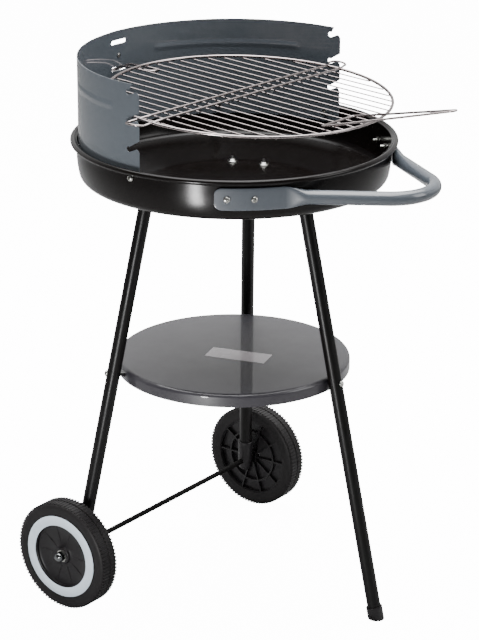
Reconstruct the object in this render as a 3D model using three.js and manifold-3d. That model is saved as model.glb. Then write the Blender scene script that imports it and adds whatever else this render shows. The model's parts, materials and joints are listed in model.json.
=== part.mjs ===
// Round charcoal grill on three tube legs: enamelled bowl, notched windshield, wire grate, shelf and two wheels.
// Millimetres, +Z up. The handle side is the front and faces -Y; a bearing is an angle about the bowl's axis,
// counted from the front and counter-clockwise from above. Heights are above the floor.
import * as THREE from "three";
import { ConvexGeometry } from "three/addons/geometries/ConvexGeometry.js";
import { mergeVertices } from "three/addons/utils/BufferGeometryUtils.js";
import Module from "manifold-3d";

// ---------------------------------------------------------------- driving dimensions
const GAP = 0.3; // between pieces that touch

const RIM_HEIGHT = 690;
const RIM_RADIUS = 235;
const BEAD_RADIUS = 4;
const BOWL_FLOOR = 609.5; // underside of the bowl
const BOWL_SHEET = 1.1;
const BOWL_WALL_RADIUS = 226.2;
const BOWL_WALL_END = 658; // the wall is upright down to here, then draws in to its lower corner
const BOWL_CORNER = { wall: 223.2, radius: 13, height: 642 };
const BOWL_CONE = 16; // degrees

const SHIELD_TURN = -3; // the windshield and grate sit turned a little on the bowl, in degrees
const SHIELD_TOP = 808;
const SHIELD_BOTTOM = 662;
const SHIELD_SHEET = 0.9;
const SHIELD_RADIUS = 224.7; // outside of the outer half
const SHIELD_HALF_WRAP = 94.5; // degrees from the back seam to a front edge
const SHIELD_LAP = { left: 5.5, right: 4.4 }; // degrees each half runs past the back seam
const NOTCH_HEIGHTS = [716, 756, 796];
const NOTCH_DEPTH = 23;
const NOTCH_RADIUS = 4;
const SLOT_SIZE = { width: 33, height: 6.5 };
const SLOT_DROP = 5; // the back slots sit this much below the notches
const SEAM_RIVET_HEIGHTS = [731, 771];
const SHIELD_SCREW_HEIGHT = 676.5;
const SHIELD_SCREW_OFFSETS = [-88, -44, 0, 44, 91];

const GRATE_HEIGHT = 756; // rim wire at the grate's centre
const GRATE_RADIUS = 203.5; // centre of the rim wire
const GRATE_FORWARD = 33;
const GRATE_SIDE = -8; // the grate hangs this much towards the left
const GRATE_TILT = 2.5; // degrees, front down
const RIM_WIRE = 5; // wire diameters
const BAR_WIRE = 3.2;
const FRAME_WIRE = 4.5;
const TONGUE_WIRE = 4;
const BAR_COUNT = 20;
const BAR_PITCH = 20;
const CROSSBAR = { back: -2, front: 27, left: -236, right: 230 }; // in the windshield's directions

const HANDLE_HEIGHT = 662.5;
const HANDLE_TUBE = 20;
const HANDLE_CREASE = 36; // bearing where the flattened end turns into the arm
const HANDLE_END = 60; // bearing of the flattened end
const HANDLE_APEX = { corner: 381.6, angle: 33.1, bend: 65 }; // where the arms' lines meet, their angle to the front, the bend's radius
const HANDLE_ARM_SIDE = 112; // the arms are fully round from here in
const HANDLE_FLAT = { height: 31.4, thickness: 3.4 };
const HANDLE_SCREW_BEARINGS = [46.4, 55.8];

const LEG_TUBE = 20;
const LEG_SHEET = 1.2;
// centrelines, as radius and bearing from the bowl's axis: tops at the bowl's underside, front foot at the floor
const FRONT_LEG = { top: 124.3, foot: 263 };
const WHEEL_LEG = { top: 138, topBearing: 117.5, axle: 241.6, axleBearing: 122 };
const SOCKET_BOLT_SPACING = 50;
const SOCKET_INSET = 9; // the socket's bolts stand this much nearer the bowl's axis than the leg

const SHELF_TOP = 356.7;
const SHELF_RADIUS = 172.3;
const SHELF_SKIRT = 19;
const SHELF_SHEET = 1;
const SHELF_SCREW_HEIGHT = 350;

const WHEEL_RADIUS = 82;
const WHEEL_WIDTH = 33;
const WHEEL_INNER_FACE = 218.5; // from the middle of the axle
const AXLE_RADIUS = 4;
const AXLE_HALF_LENGTH = 258;

const M5 = 2.5; // screw shank radius
const ROUND = 16; // sides of a small round piece
const TUBE_SIDES = 20;

// ---------------------------------------------------------------- placing and joining
const rad = THREE.MathUtils.degToRad;
const UP = new THREE.Vector3(0, 0, 1);
const point = (radius, bearing, z = 0) =>
  new THREE.Vector3(radius * Math.sin(rad(bearing)), -radius * Math.cos(rad(bearing)), z);
const outward = (bearing) => point(1, bearing);
// forward, side and height coordinates
const place = (forward, side, z) => new THREE.Vector3(side, -forward, z);

const wasm = await Module();
wasm.setup();

function solid(geometry) {
  const bare = geometry.index ? geometry.toNonIndexed() : geometry.clone();
  bare.deleteAttribute("normal");
  bare.deleteAttribute("uv");
  const merged = mergeVertices(bare, 1e-3);
  const vertProperties = new Float32Array(merged.attributes.position.array);
  const triVerts = new Uint32Array(merged.index.array);
  return new wasm.Manifold(new wasm.Mesh({ numProp: 3, vertProperties, triVerts }));
}

function geometryOf(body) {
  const { vertProperties, triVerts } = body.getMesh();
  return new THREE.BufferGeometry()
    .setAttribute("position", new THREE.BufferAttribute(vertProperties, 3))
    .setIndex(new THREE.BufferAttribute(triVerts, 1));
}

const cut = (geometry, cutters) =>
  geometryOf(cutters.reduce((body, cutter) => body.subtract(solid(cutter)), solid(geometry)));
const join = (geometries) =>
  geometryOf(geometries.map(solid).reduce((body, next) => body.add(next)));

// a geometry built along +Y is turned to run along a direction, then moved
function aim(geometry, direction, position) {
  const turn = new THREE.Quaternion().setFromUnitVectors(new THREE.Vector3(0, 1, 0), direction.clone().normalize());
  return geometry.clone().applyQuaternion(turn).translate(position.x, position.y, position.z);
}

function lathe(profile, sides = ROUND) {
  return new THREE.LatheGeometry(profile.map(([radius, along]) => new THREE.Vector2(radius, along)), sides);
}

// a lathed body standing on +Z
const turned = (profile, sides) => lathe(profile, sides).rotateX(Math.PI / 2);

function rod(radius, from, to, sides = ROUND) {
  const length = from.distanceTo(to);
  return aim(lathe([[0, 0], [radius, 0], [radius, length], [0, length]], sides), to.clone().sub(from), from);
}

function pipe(radius, wall, from, to, sides = TUBE_SIDES) {
  const length = from.distanceTo(to);
  const inner = radius - wall;
  const profile = [[inner, 0], [radius, 0], [radius, length], [inner, length], [inner, 0]];
  return aim(lathe(profile, sides), to.clone().sub(from), from);
}

// a closed loop of wire through the corners, with rounded corners
function wireLoop(corners, radius, bend, sides = 6) {
  const path = new THREE.CurvePath();
  const points = [];
  corners.forEach((corner, i) => {
    const before = corners.at(i - 1);
    const after = corners[(i + 1) % corners.length];
    const back = before.clone().sub(corner);
    const ahead = after.clone().sub(corner);
    const reach = Math.min(bend, 0.45 * back.length(), 0.45 * ahead.length());
    const start = corner.clone().addScaledVector(back.normalize(), reach);
    const end = corner.clone().addScaledVector(ahead.normalize(), reach);
    const curve = new THREE.QuadraticBezierCurve3(start, corner, end);
    points.push(...curve.getPoints(3));
  });
  points.forEach((p, i) => path.add(new THREE.LineCurve3(p, points[(i + 1) % points.length])));
  const lengths = path.getCurveLengths();
  // one ring of the tube at each point: the curve's own parameter is spread evenly over the points
  const loop = new THREE.Curve();
  loop.getPoint = (t) => path.curves[Math.min(points.length - 1, Math.floor(t * points.length))].getPoint((t * points.length) % 1);
  loop.getPointAt = loop.getPoint;
  loop.getTangentAt = (t) => {
    const i = Math.round(t * points.length) % points.length;
    const back = points[i].clone().sub(points.at(i - 1)).normalize();
    return back.add(points[(i + 1) % points.length].clone().sub(points[i]).normalize()).normalize();
  };
  return lengths.length ? new THREE.TubeGeometry(loop, points.length, radius, sides, true) : null;
}

// ---------------------------------------------------------------- materials
const paint = (color, roughness, metalness = 0) => new THREE.MeshStandardMaterial({ color, roughness, metalness });
const blackEnamel = paint(0x1d1a19, 0.15);
const greyPaint = paint(0x5f686f, 0.3);
const blackPaint = paint(0x232122, 0.4);
const blackPlastic = paint(0x2c2a2c, 0.6);
const tyrePlastic = paint(0x343234, 0.75);
const whiteTrim = paint(0xc4cbd4, 0.5);
const chromedWire = paint(0xb8b0a8, 0.2, 1);
const zincPlate = paint(0xc9c9c4, 0.3, 1);

const grill = new THREE.Group();
const turnedGroup = new THREE.Group();
turnedGroup.rotation.z = rad(SHIELD_TURN);
grill.add(turnedGroup);

function add(name, geometry, material, group = grill) {
  const mesh = new THREE.Mesh(geometry, material);
  mesh.name = name;
  group.add(mesh);
  return mesh;
}

// ---------------------------------------------------------------- fasteners
const SCREW_HEAD = 4.8;
const NUT = { flats: 8, thickness: 4, bore: M5 + GAP + 0.1 };

// the head's underside sits at position and the shank runs against direction
function panScrew(length) {
  return lathe([[0, -length], [M5, -length], [M5, 0], [SCREW_HEAD, 0], [SCREW_HEAD - 0.5, 1.6], [SCREW_HEAD - 2.2, 2.8], [0, 3.2]], 12);
}

// a nut on an optional washer face
function hexNut(flange = 0) {
  const corner = NUT.flats / 2 / Math.cos(Math.PI / 6);
  const shape = new THREE.Shape(
    [0, 1, 2, 3, 4, 5].map((i) => new THREE.Vector2(corner * Math.cos((i * Math.PI) / 3), corner * Math.sin((i * Math.PI) / 3))),
  );
  const bore = new THREE.Path();
  bore.absarc(0, 0, NUT.bore / Math.cos(Math.PI / 12), 0, 2 * Math.PI, true);
  shape.holes.push(bore);
  const nut = new THREE.ExtrudeGeometry(shape, { depth: NUT.thickness, bevelEnabled: false, curveSegments: 6 }).rotateX(-Math.PI / 2);
  if (!flange) return nut;
  const washer = lathe([[NUT.bore + 0.1, 0], [flange, 0], [flange, 1.2], [NUT.bore + 0.1, 1.2], [NUT.bore + 0.1, 0]], 20);
  return join([nut, washer]);
}

const holeFor = (position, direction, reach = 8) =>
  rod(M5 + GAP, position.clone().addScaledVector(direction, -reach), position.clone().addScaledVector(direction, reach), 12);

// ---------------------------------------------------------------- bowl
const bowlInner = BOWL_WALL_RADIUS - BOWL_SHEET;
const beadCentre = { radius: RIM_RADIUS - BEAD_RADIUS, height: RIM_HEIGHT - BEAD_RADIUS };
const BOWL_SIDES = 64;

function arcPoints(cx, cy, radius, from, to, steps) {
  return Array.from({ length: steps + 1 }, (_, i) => {
    const angle = rad(from + ((to - from) * i) / steps);
    return [cx + radius * Math.cos(angle), cy + radius * Math.sin(angle)];
  });
}

// from the flat middle over the cone and the corner to the upright wall, moved inwards by a thickness
function bowlCurve(inset) {
  const { wall, radius, height } = BOWL_CORNER;
  const corner = arcPoints(wall - radius, height, radius - inset, BOWL_CONE - 90, 0, 4);
  const [coneRadius, coneHeight] = corner[0];
  const flat = coneRadius - (coneHeight - BOWL_FLOOR - inset) / Math.tan(rad(BOWL_CONE));
  return [[0, BOWL_FLOOR + inset], [flat, BOWL_FLOOR + inset], ...corner, [BOWL_WALL_RADIUS - inset, BOWL_WALL_END]];
}

function bowlProfile() {
  const bead = arcPoints(beadCentre.radius, beadCentre.height, BEAD_RADIUS, -150, 150, 6); // rolled outwards round the wall's top
  const top = beadCentre.height - 3;
  return [...bowlCurve(0), [BOWL_WALL_RADIUS, top], ...bead, [bowlInner, top + 4], ...bowlCurve(BOWL_SHEET).reverse()];
}

const shieldBearings = SHIELD_SCREW_OFFSETS.map((offset) => 180 + SHIELD_TURN + offset);
const handleBearings = [-1, 1].flatMap((side) => HANDLE_SCREW_BEARINGS.map((bearing) => side * bearing));
const wheelLeg = (side) => ({
  bearing: side * WHEEL_LEG.topBearing,
  top: point(WHEEL_LEG.top, side * WHEEL_LEG.topBearing, BOWL_FLOOR),
  low: point(WHEEL_LEG.axle, side * WHEEL_LEG.axleBearing, WHEEL_RADIUS),
  plateTurn: side * -11.5,
});
const legs = {
  front: { bearing: 0, top: point(FRONT_LEG.top, 0, BOWL_FLOOR), low: point(FRONT_LEG.foot, 0, 0), plateTurn: 0 },
  left: wheelLeg(-1),
  right: wheelLeg(1),
};
const legPoint = ({ top, low }, z) => top.clone().lerp(low, (top.z - z) / (top.z - low.z));
const legAlong = ({ top, low }) => low.clone().sub(top).normalize();
const plateCentre = ({ bearing, top }) => top.clone().addScaledVector(outward(bearing), -SOCKET_INSET);
const socketBolts = (leg) =>
  [-1, 1].map((side) =>
    plateCentre(leg).addScaledVector(outward(leg.bearing + leg.plateTurn + 90), (side * SOCKET_BOLT_SPACING) / 2),
  );

const bowlHoles = [
  ...shieldBearings.map((b) => holeFor(point(BOWL_WALL_RADIUS, b, SHIELD_SCREW_HEIGHT), outward(b))),
  ...handleBearings.map((b) => holeFor(point(BOWL_WALL_RADIUS, b, HANDLE_HEIGHT), outward(b))),
  ...Object.values(legs).flatMap((leg) => socketBolts(leg).map((p) => holeFor(p, UP))),
];
add("bowl", cut(turned(bowlProfile(), BOWL_SIDES), bowlHoles), blackEnamel);

// ---------------------------------------------------------------- windshield
// a wedge between two bearings, reaching past the sheet
function wedge(from, to) {
  const reach = 320;
  const middle = (from + to) / 2;
  const corners = [from, (from + middle) / 2, middle, (middle + to) / 2, to].map((b) => point(reach, b));
  const shape = new THREE.Shape([new THREE.Vector2(0, 0), ...corners.map((c) => new THREE.Vector2(c.x, c.y))]);
  return new THREE.ExtrudeGeometry(shape, { depth: 400, bevelEnabled: false }).translate(0, 0, 500);
}

// outline of what a notch removes: along = distance in from the front edge, up = height above the notch
function notchOutline(last) {
  const deep = NOTCH_DEPTH - NOTCH_RADIUS;
  const shape = new THREE.Shape();
  shape.moveTo(-8, -6);
  shape.lineTo(0.5, -2.5);
  shape.quadraticCurveTo(3.5, 2.4, 7, 0.9);
  shape.lineTo(deep - 1.5, -NOTCH_RADIUS + 0.2);
  shape.absarc(deep, 0, NOTCH_RADIUS, rad(-110), rad(115), false);
  if (last) {
    shape.lineTo(12.5, 11);
    shape.lineTo(12.5, 20);
    shape.lineTo(-8, 20);
  } else {
    shape.lineTo(1.5, 13);
    shape.lineTo(-8, 17);
  }
  shape.closePath();
  return shape;
}

// the cutter is extruded radially at one front edge
function notchCutter(side, index) {
  const edge = 180 + side * SHIELD_HALF_WRAP;
  const shape = notchOutline(index === NOTCH_HEIGHTS.length - 1);
  const geometry = new THREE.ExtrudeGeometry(shape, { depth: 24, bevelEnabled: false, curveSegments: 5 });
  // shape x runs along the sheet away from the edge, shape y up, depth inwards or outwards
  const along = outward(edge - side * 90);
  const basis = new THREE.Matrix4().makeBasis(along, UP, along.clone().cross(UP));
  const start = point(SHIELD_RADIUS, edge, NOTCH_HEIGHTS[index]).addScaledVector(along.clone().cross(UP), -12);
  return geometry.applyMatrix4(basis).translate(start.x, start.y, start.z);
}

function slotCutter(height) {
  const half = SLOT_SIZE.width / 2 - SLOT_SIZE.height / 2;
  const shape = new THREE.Shape();
  shape.absarc(half, 0, SLOT_SIZE.height / 2, rad(-90), rad(90), false);
  shape.absarc(-half, 0, SLOT_SIZE.height / 2, rad(90), rad(270), false);
  shape.closePath();
  const slot = new THREE.ExtrudeGeometry(shape, { depth: 20, bevelEnabled: false, curveSegments: 5 });
  return slot.rotateX(Math.PI / 2).translate(0, SHIELD_RADIUS + 10, height);
}

// the left half is the inner sheet where the two lap at the back
function shieldHalf(side) {
  const outer = side > 0 ? SHIELD_RADIUS : SHIELD_RADIUS - SHIELD_SHEET - GAP;
  const inner = outer - SHIELD_SHEET;
  const ring = turned([[inner, SHIELD_BOTTOM], [outer, SHIELD_BOTTOM], [outer, SHIELD_TOP], [inner, SHIELD_TOP], [inner, SHIELD_BOTTOM]], 72);
  const ends = side > 0 ? [180 - SHIELD_HALF_WRAP, 180 + SHIELD_LAP.right] : [180 - SHIELD_LAP.left, 180 + SHIELD_HALF_WRAP];
  const bearings = SHIELD_SCREW_OFFSETS.map((offset) => 180 + offset);
  const cutters = [
    ...NOTCH_HEIGHTS.map((_, i) => notchCutter(-side, i)),
    ...NOTCH_HEIGHTS.map((height) => slotCutter(height - SLOT_DROP)),
    ...bearings.map((b) => holeFor(point(outer, b, SHIELD_SCREW_HEIGHT), outward(b))),
    ...SEAM_RIVET_HEIGHTS.map((height) => holeFor(point(outer, 180, height), outward(180))),
  ];
  const half = solid(ring).intersect(solid(wedge(...ends)));
  return geometryOf(cutters.reduce((body, cutter) => body.subtract(solid(cutter)), half));
}
add("windshield_left", shieldHalf(-1), greyPaint, turnedGroup);
add("windshield_right", shieldHalf(1), greyPaint, turnedGroup);

// screws through the bowl and the windshield, nuts inside
SHIELD_SCREW_OFFSETS.forEach((offset, i) => {
  const bearing = 180 + offset;
  const out = outward(bearing);
  const nutFace = SHIELD_RADIUS - 2 * SHIELD_SHEET - 2 * GAP - NUT.thickness;
  add(`windshield_screw_${i + 1}`, aim(panScrew(14), out, point(BOWL_WALL_RADIUS + GAP, bearing, SHIELD_SCREW_HEIGHT)), zincPlate, turnedGroup);
  add(`windshield_nut_${i + 1}`, aim(hexNut(), out, point(nutFace, bearing, SHIELD_SCREW_HEIGHT)), zincPlate, turnedGroup);
});

// one-piece rivets hold the two lapped halves together
const rivet = () => {
  const grip = 2 * SHIELD_SHEET + 3 * GAP;
  return lathe([[0, -grip - 2], [3, -grip - 1.2], [3.6, -grip], [M5, -grip], [M5, 0], [4.6, 0], [4, 1.2], [0, 1.8]], 12);
};
SEAM_RIVET_HEIGHTS.forEach((height, i) =>
  add(`seam_rivet_${i + 1}`, aim(rivet(), outward(180), point(SHIELD_RADIUS + GAP, 180, height)), zincPlate, turnedGroup),
);

// ---------------------------------------------------------------- cooking grate
const grateGroup = new THREE.Group();
turnedGroup.add(grateGroup);
const tilt = rad(GRATE_TILT);
// forward, side and height above the rim wire's plane, in the grate's own tilted plane
function onGrate(forward, side, above) {
  const f = forward * Math.cos(tilt) + above * Math.sin(tilt);
  const z = -forward * Math.sin(tilt) + above * Math.cos(tilt);
  return place(GRATE_FORWARD + f, GRATE_SIDE + side, GRATE_HEIGHT + z);
}
const barLift = (RIM_WIRE + BAR_WIRE) / 2 - 0.5;

function cookingGrate() {
  const rim = new THREE.TorusGeometry(GRATE_RADIUS, RIM_WIRE / 2, 6, 48);
  rim.rotateX(tilt).translate(GRATE_SIDE, -GRATE_FORWARD, GRATE_HEIGHT);
  const bars = Array.from({ length: BAR_COUNT }, (_, i) => {
    const side = (i - (BAR_COUNT - 1) / 2) * BAR_PITCH;
    const half = Math.sqrt(GRATE_RADIUS ** 2 - side ** 2) + 0.5;
    return rod(BAR_WIRE / 2, onGrate(-half, side, barLift), onGrate(half, side, barLift), 5);
  });
  return join([rim, ...bars]);
}
add("cooking_grate", cookingGrate(), chromedWire, grateGroup);

// the crossbar is one closed hairpin under the rim wire: its rounded ends step up and rest in the middle notches
const CROSSBAR_REST = NOTCH_HEIGHTS[1] - NOTCH_RADIUS + FRAME_WIRE / 2 + 0.35;
function crossbar() {
  const under = (RIM_WIRE + FRAME_WIRE) / 2 + GAP;
  const { back, front } = CROSSBAR;
  const halfWidth = (front - back) / 2;
  const belowRim = (forward) => GRATE_HEIGHT - (forward - GRATE_FORWARD) * Math.tan(tilt) - under;
  const end = (side, low, tip) => {
    const rest = SHIELD_RADIUS - 2.4;
    const nose = Math.abs(tip) - rest - 4;
    const arc = [0, 45, 90, 135, 180].map((angle) =>
      place(back + halfWidth * (1 + Math.cos(rad(angle))), side * (rest + 4 + nose * Math.sin(rad(angle))), CROSSBAR_REST + 2 * Math.sin(rad(angle))),
    );
    return [place(front, side * low, belowRim(front)), place(front, side * rest, CROSSBAR_REST), ...arc, place(back, side * rest, CROSSBAR_REST), place(back, side * low, belowRim(back))];
  };
  return wireLoop([...end(-1, 217.2, CROSSBAR.left), ...end(1, 214, CROSSBAR.right).reverse()], FRAME_WIRE / 2, 4);
}
add("grate_crossbar", crossbar(), chromedWire, grateGroup);

// the lifting handle is a narrow wire triangle: its base lies across four bars, its arms rise to the grip end
const frameLift = barLift + (BAR_WIRE + FRAME_WIRE) / 2 + GAP;
const GRIP = { forward: 173, side: -21.5, baseHalf: 36, endHalf: 4.5, length: 193, rise: 57.5 };
function grateHandle() {
  const corner = (end, half) => onGrate(GRIP.forward + end * GRIP.length, GRIP.side + half, frameLift + end * GRIP.rise);
  const corners = [corner(0, -GRIP.baseHalf), corner(1, -GRIP.endHalf), corner(1, GRIP.endHalf), corner(0, GRIP.baseHalf)];
  return wireLoop(corners, FRAME_WIRE / 2, 6);
}
add("grate_handle", grateHandle(), chromedWire, grateGroup);

// the tongue hangs under the back of the rim wire and reaches through the middle slot, sloped as the grate lifts out
const TONGUE_HALF = 8;
const LIFT_ANGLE = 27;
function tongue() {
  const under = -(RIM_WIRE + TONGUE_WIRE) / 2 - GAP;
  const sheet = -SHIELD_RADIUS + SHIELD_SHEET;
  const sloped = (back, side) =>
    place(sheet + back, side * TONGUE_HALF, NOTCH_HEIGHTS[1] - SLOT_DROP + back * Math.tan(rad(LIFT_ANGLE)));
  const corners = [
    onGrate(-GRATE_RADIUS + 22, -TONGUE_HALF - GRATE_SIDE, under),
    sloped(14, -1),
    sloped(-7, -1),
    sloped(-7, 1),
    sloped(14, 1),
    onGrate(-GRATE_RADIUS + 22, TONGUE_HALF - GRATE_SIDE, under),
  ];
  return wireLoop(corners, TONGUE_WIRE / 2, 4);
}
add("grate_tongue", tongue(), chromedWire, grateGroup);

// ---------------------------------------------------------------- bent tube handle
const handleInner = BOWL_WALL_RADIUS + 2 * GAP;
const handleOuter = handleInner + HANDLE_FLAT.thickness;

function handleFlat(side) {
  const half = HANDLE_FLAT.height / 2;
  const low = HANDLE_HEIGHT - half;
  const high = HANDLE_HEIGHT + half;
  const ring = turned([[handleInner, low], [handleOuter, low], [handleOuter, high], [handleInner, high], [handleInner, low]], 72);
  const ends = [side * (HANDLE_CREASE - 0.8), side * HANDLE_END].sort((a, b) => a - b);
  return geometryOf(solid(ring).intersect(solid(wedge(...ends))));
}

const armPoint = (side, reach) => place(HANDLE_APEX.corner - reach / Math.tan(rad(HANDLE_APEX.angle)), side * reach, HANDLE_HEIGHT);
const armDirection = (side) => point(1, -side * HANDLE_APEX.angle);

// the round tube closes to the flat end over a short taper
function handleTaper(side) {
  const crease = point((handleInner + handleOuter) / 2, side * HANDLE_CREASE, HANDLE_HEIGHT);
  const across = armDirection(side).cross(UP);
  const points = [-1, 1].flatMap((half) =>
    [-1, 1].map((up) =>
      crease
        .clone()
        .addScaledVector(outward(side * HANDLE_CREASE), (half * HANDLE_FLAT.thickness) / 2)
        .addScaledVector(UP, (up * HANDLE_FLAT.height) / 2),
    ),
  );
  for (let i = 0; i < TUBE_SIDES; i++) {
    const angle = (2 * Math.PI * i) / TUBE_SIDES;
    points.push(
      armPoint(side, HANDLE_ARM_SIDE)
        .addScaledVector(across, (HANDLE_TUBE / 2) * Math.cos(angle))
        .addScaledVector(UP, (HANDLE_TUBE / 2) * Math.sin(angle)),
    );
  }
  return new ConvexGeometry(points);
}

function handleBow() {
  const { corner, angle, bend } = HANDLE_APEX;
  const centreForward = corner - bend / Math.sin(rad(angle));
  const arc = arcPoints(0, 0, bend, angle - 90, 90 - angle, 10).map(([f, s]) => place(centreForward + f, s, HANDLE_HEIGHT));
  const stops = [armPoint(-1, HANDLE_ARM_SIDE + 0.6), ...arc, armPoint(1, HANDLE_ARM_SIDE + 0.6)];
  const pieces = stops.slice(1).map((stop, i) => new THREE.LineCurve3(stops[i], stop));
  const curve = new THREE.Curve();
  curve.getPoint = (t) => {
    const along = Math.min(t * pieces.length, pieces.length - 1e-9);
    return pieces[Math.floor(along)].getPoint(along % 1);
  };
  curve.getPointAt = curve.getPoint;
  const section = new THREE.Shape();
  section.absarc(0, 0, HANDLE_TUBE / 2, 0, 2 * Math.PI, false);
  return new THREE.ExtrudeGeometry(section, { extrudePath: curve, steps: pieces.length, curveSegments: TUBE_SIDES / 2 });
}

const handleHoles = handleBearings.map((b) => holeFor(point(handleInner, b, HANDLE_HEIGHT), outward(b)));
add("handle", cut(join([handleBow(), handleTaper(-1), handleTaper(1), handleFlat(-1), handleFlat(1)]), handleHoles), greyPaint);

handleBearings.forEach((bearing, i) => {
  const out = outward(bearing);
  add(`handle_screw_${i + 1}`, aim(panScrew(16), out, point(handleOuter + GAP, bearing, HANDLE_HEIGHT)), zincPlate);
  add(`handle_nut_${i + 1}`, aim(hexNut(), out, point(bowlInner - 1 - GAP - NUT.thickness, bearing, HANDLE_HEIGHT)), zincPlate);
});

// ---------------------------------------------------------------- legs, sockets and end pieces
const SOCKET = { plate: 2.5, length: 8, wall: 1.5 };
const socketInner = LEG_TUBE / 2 + GAP;

// pressed plate with a short inclined cup for the leg, and two studs up through the bowl's floor
function legSocket(leg) {
  const along = legAlong(leg);
  const top = leg.top.clone().setZ(BOWL_FLOOR - GAP);
  const middle = plateCentre(leg);
  const halfLength = SOCKET_BOLT_SPACING / 2;
  const endRadius = 11;
  const outline = new THREE.Shape();
  outline.absarc(halfLength, 0, endRadius, rad(-90), rad(90), false);
  outline.absarc(-halfLength, 0, endRadius, rad(90), rad(270), false);
  outline.closePath();
  const plate = new THREE.ExtrudeGeometry(outline, { depth: SOCKET.plate, bevelEnabled: false, curveSegments: 6 })
    .rotateZ(rad(leg.bearing + leg.plateTurn))
    .translate(middle.x, middle.y, top.z - SOCKET.plate);
  const inside = top.clone().addScaledVector(along, -8);
  const cup = rod(socketInner + SOCKET.wall, inside, top.clone().addScaledVector(along, SOCKET.length), TUBE_SIDES);
  const bore = rod(socketInner, top.clone().addScaledVector(along, 4.5), top.clone().addScaledVector(along, SOCKET.length + 5), TUBE_SIDES);
  const above = new THREE.BoxGeometry(80, 80, 30).translate(top.x, top.y, top.z + 15);
  const body = solid(plate).add(solid(cup)).subtract(solid(bore)).subtract(solid(above));
  const studs = socketBolts(leg).map((p) => rod(M5, p.clone().setZ(top.z - 1), p.clone().setZ(BOWL_FLOOR + 10), 12));
  return geometryOf(studs.reduce((all, stud) => all.add(solid(stud)), body));
}

// the shelf's screws stand square to the legs
function shelfScrew(leg) {
  const along = legAlong(leg);
  const direction = along.clone().cross(UP).cross(along).normalize();
  return { direction, head: legPoint(leg, SHELF_SCREW_HEIGHT).addScaledVector(direction, LEG_TUBE / 2 + GAP) };
}
const CAP = { radius: 12, bore: LEG_TUBE / 2 + GAP };
const legBottom = { front: 7, left: 97, right: 97 };

for (const [name, leg] of Object.entries(legs)) {
  const top = legPoint(leg, BOWL_FLOOR - GAP).addScaledVector(legAlong(leg), 5);
  const screw = shelfScrew(leg);
  const tube = pipe(LEG_TUBE / 2, LEG_SHEET, top, legPoint(leg, legBottom[name]));
  add(`leg_${name}`, cut(tube, [holeFor(screw.head, screw.direction, 30)]), blackPaint);
  add(`leg_socket_${name}`, legSocket(leg), blackPaint);
  socketBolts(leg).forEach((p, i) =>
    add(`leg_nut_${name}_${i + 1}`, aim(hexNut(7.5), UP, p.clone().setZ(BOWL_FLOOR + BOWL_SHEET + GAP)), zincPlate),
  );
  add(`shelf_screw_${name}`, aim(panScrew(30), screw.direction, screw.head), zincPlate);
}

// a cup pushed over the end of the front leg, cut level where it meets the floor
function footCap() {
  const { front } = legs;
  const along = legAlong(front);
  const start = legPoint(front, 18);
  const cup = rod(CAP.radius, start, start.clone().addScaledVector(along, 30), TUBE_SIDES);
  const bore = rod(CAP.bore, start.clone().addScaledVector(along, -5), legPoint(front, legBottom.front - 1), TUBE_SIDES);
  const floor = new THREE.BoxGeometry(90, 90, 60).translate(start.x, start.y, -30);
  return cut(cup, [bore, floor]);
}
add("foot_cap", footCap(), blackPlastic);

// the wheel legs end in moulded pieces that carry the axle
const axleY = legs.left.low.y;
const axlePoint = (x) => new THREE.Vector3(x, axleY, WHEEL_RADIUS);
function axleBush(leg) {
  const along = legAlong(leg);
  const start = legPoint(leg, 119);
  const length = 53;
  const body = aim(
    lathe([[0, 0], [CAP.radius - 0.6, 0], [CAP.radius, 1.5], [CAP.radius, length - 5], [CAP.radius - 4, length], [0, length]], TUBE_SIDES),
    along,
    start,
  );
  const bore = rod(CAP.bore, start.clone().addScaledVector(along, -5), legPoint(leg, legBottom.left - 1), TUBE_SIDES);
  const wall = WHEEL_INNER_FACE - 1.6;
  const trim = [-1, 1].map((side) => new THREE.BoxGeometry(40, 60, 140).translate(side * (wall + 20), axleY, 90));
  return cut(body, [bore, rod(AXLE_RADIUS + GAP, axlePoint(-300), axlePoint(300)), ...trim]);
}
add("axle_bush_left", axleBush(legs.left), blackPlastic);
add("axle_bush_right", axleBush(legs.right), blackPlastic);

// ---------------------------------------------------------------- shelf
function shelfBody() {
  const edge = 6;
  const bottom = SHELF_TOP - SHELF_SKIRT;
  const outer = arcPoints(SHELF_RADIUS - edge, SHELF_TOP - edge, edge, 0, 90, 4);
  const inner = arcPoints(SHELF_RADIUS - edge, SHELF_TOP - edge, edge - SHELF_SHEET, 90, 0, 4);
  const profile = [[0, SHELF_TOP - SHELF_SHEET], ...inner, [SHELF_RADIUS - SHELF_SHEET, bottom], [SHELF_RADIUS, bottom], ...outer, [0, SHELF_TOP]];
  const holes = Object.values(legs)
    .map(shelfScrew)
    .map(({ head, direction }) => holeFor(head, direction, 30));
  return cut(turned(profile, BOWL_SIDES), holes);
}
add("shelf", shelfBody(), greyPaint);

// ---------------------------------------------------------------- axle and wheels
add("axle", rod(AXLE_RADIUS, axlePoint(-AXLE_HALF_LENGTH), axlePoint(AXLE_HALF_LENGTH)), blackPaint);

const WHEEL_SIDES = 36;
const HUB = { bore: AXLE_RADIUS + 0.4, radius: 12 };
const DRUM = { inner: 47.5, outer: 61.5, wall: 5.5 };
const TYRE_SEAT = DRUM.outer + GAP;
const TRIM = { inner: 47.7, outer: 63.2, thickness: 1.2 };
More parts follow.
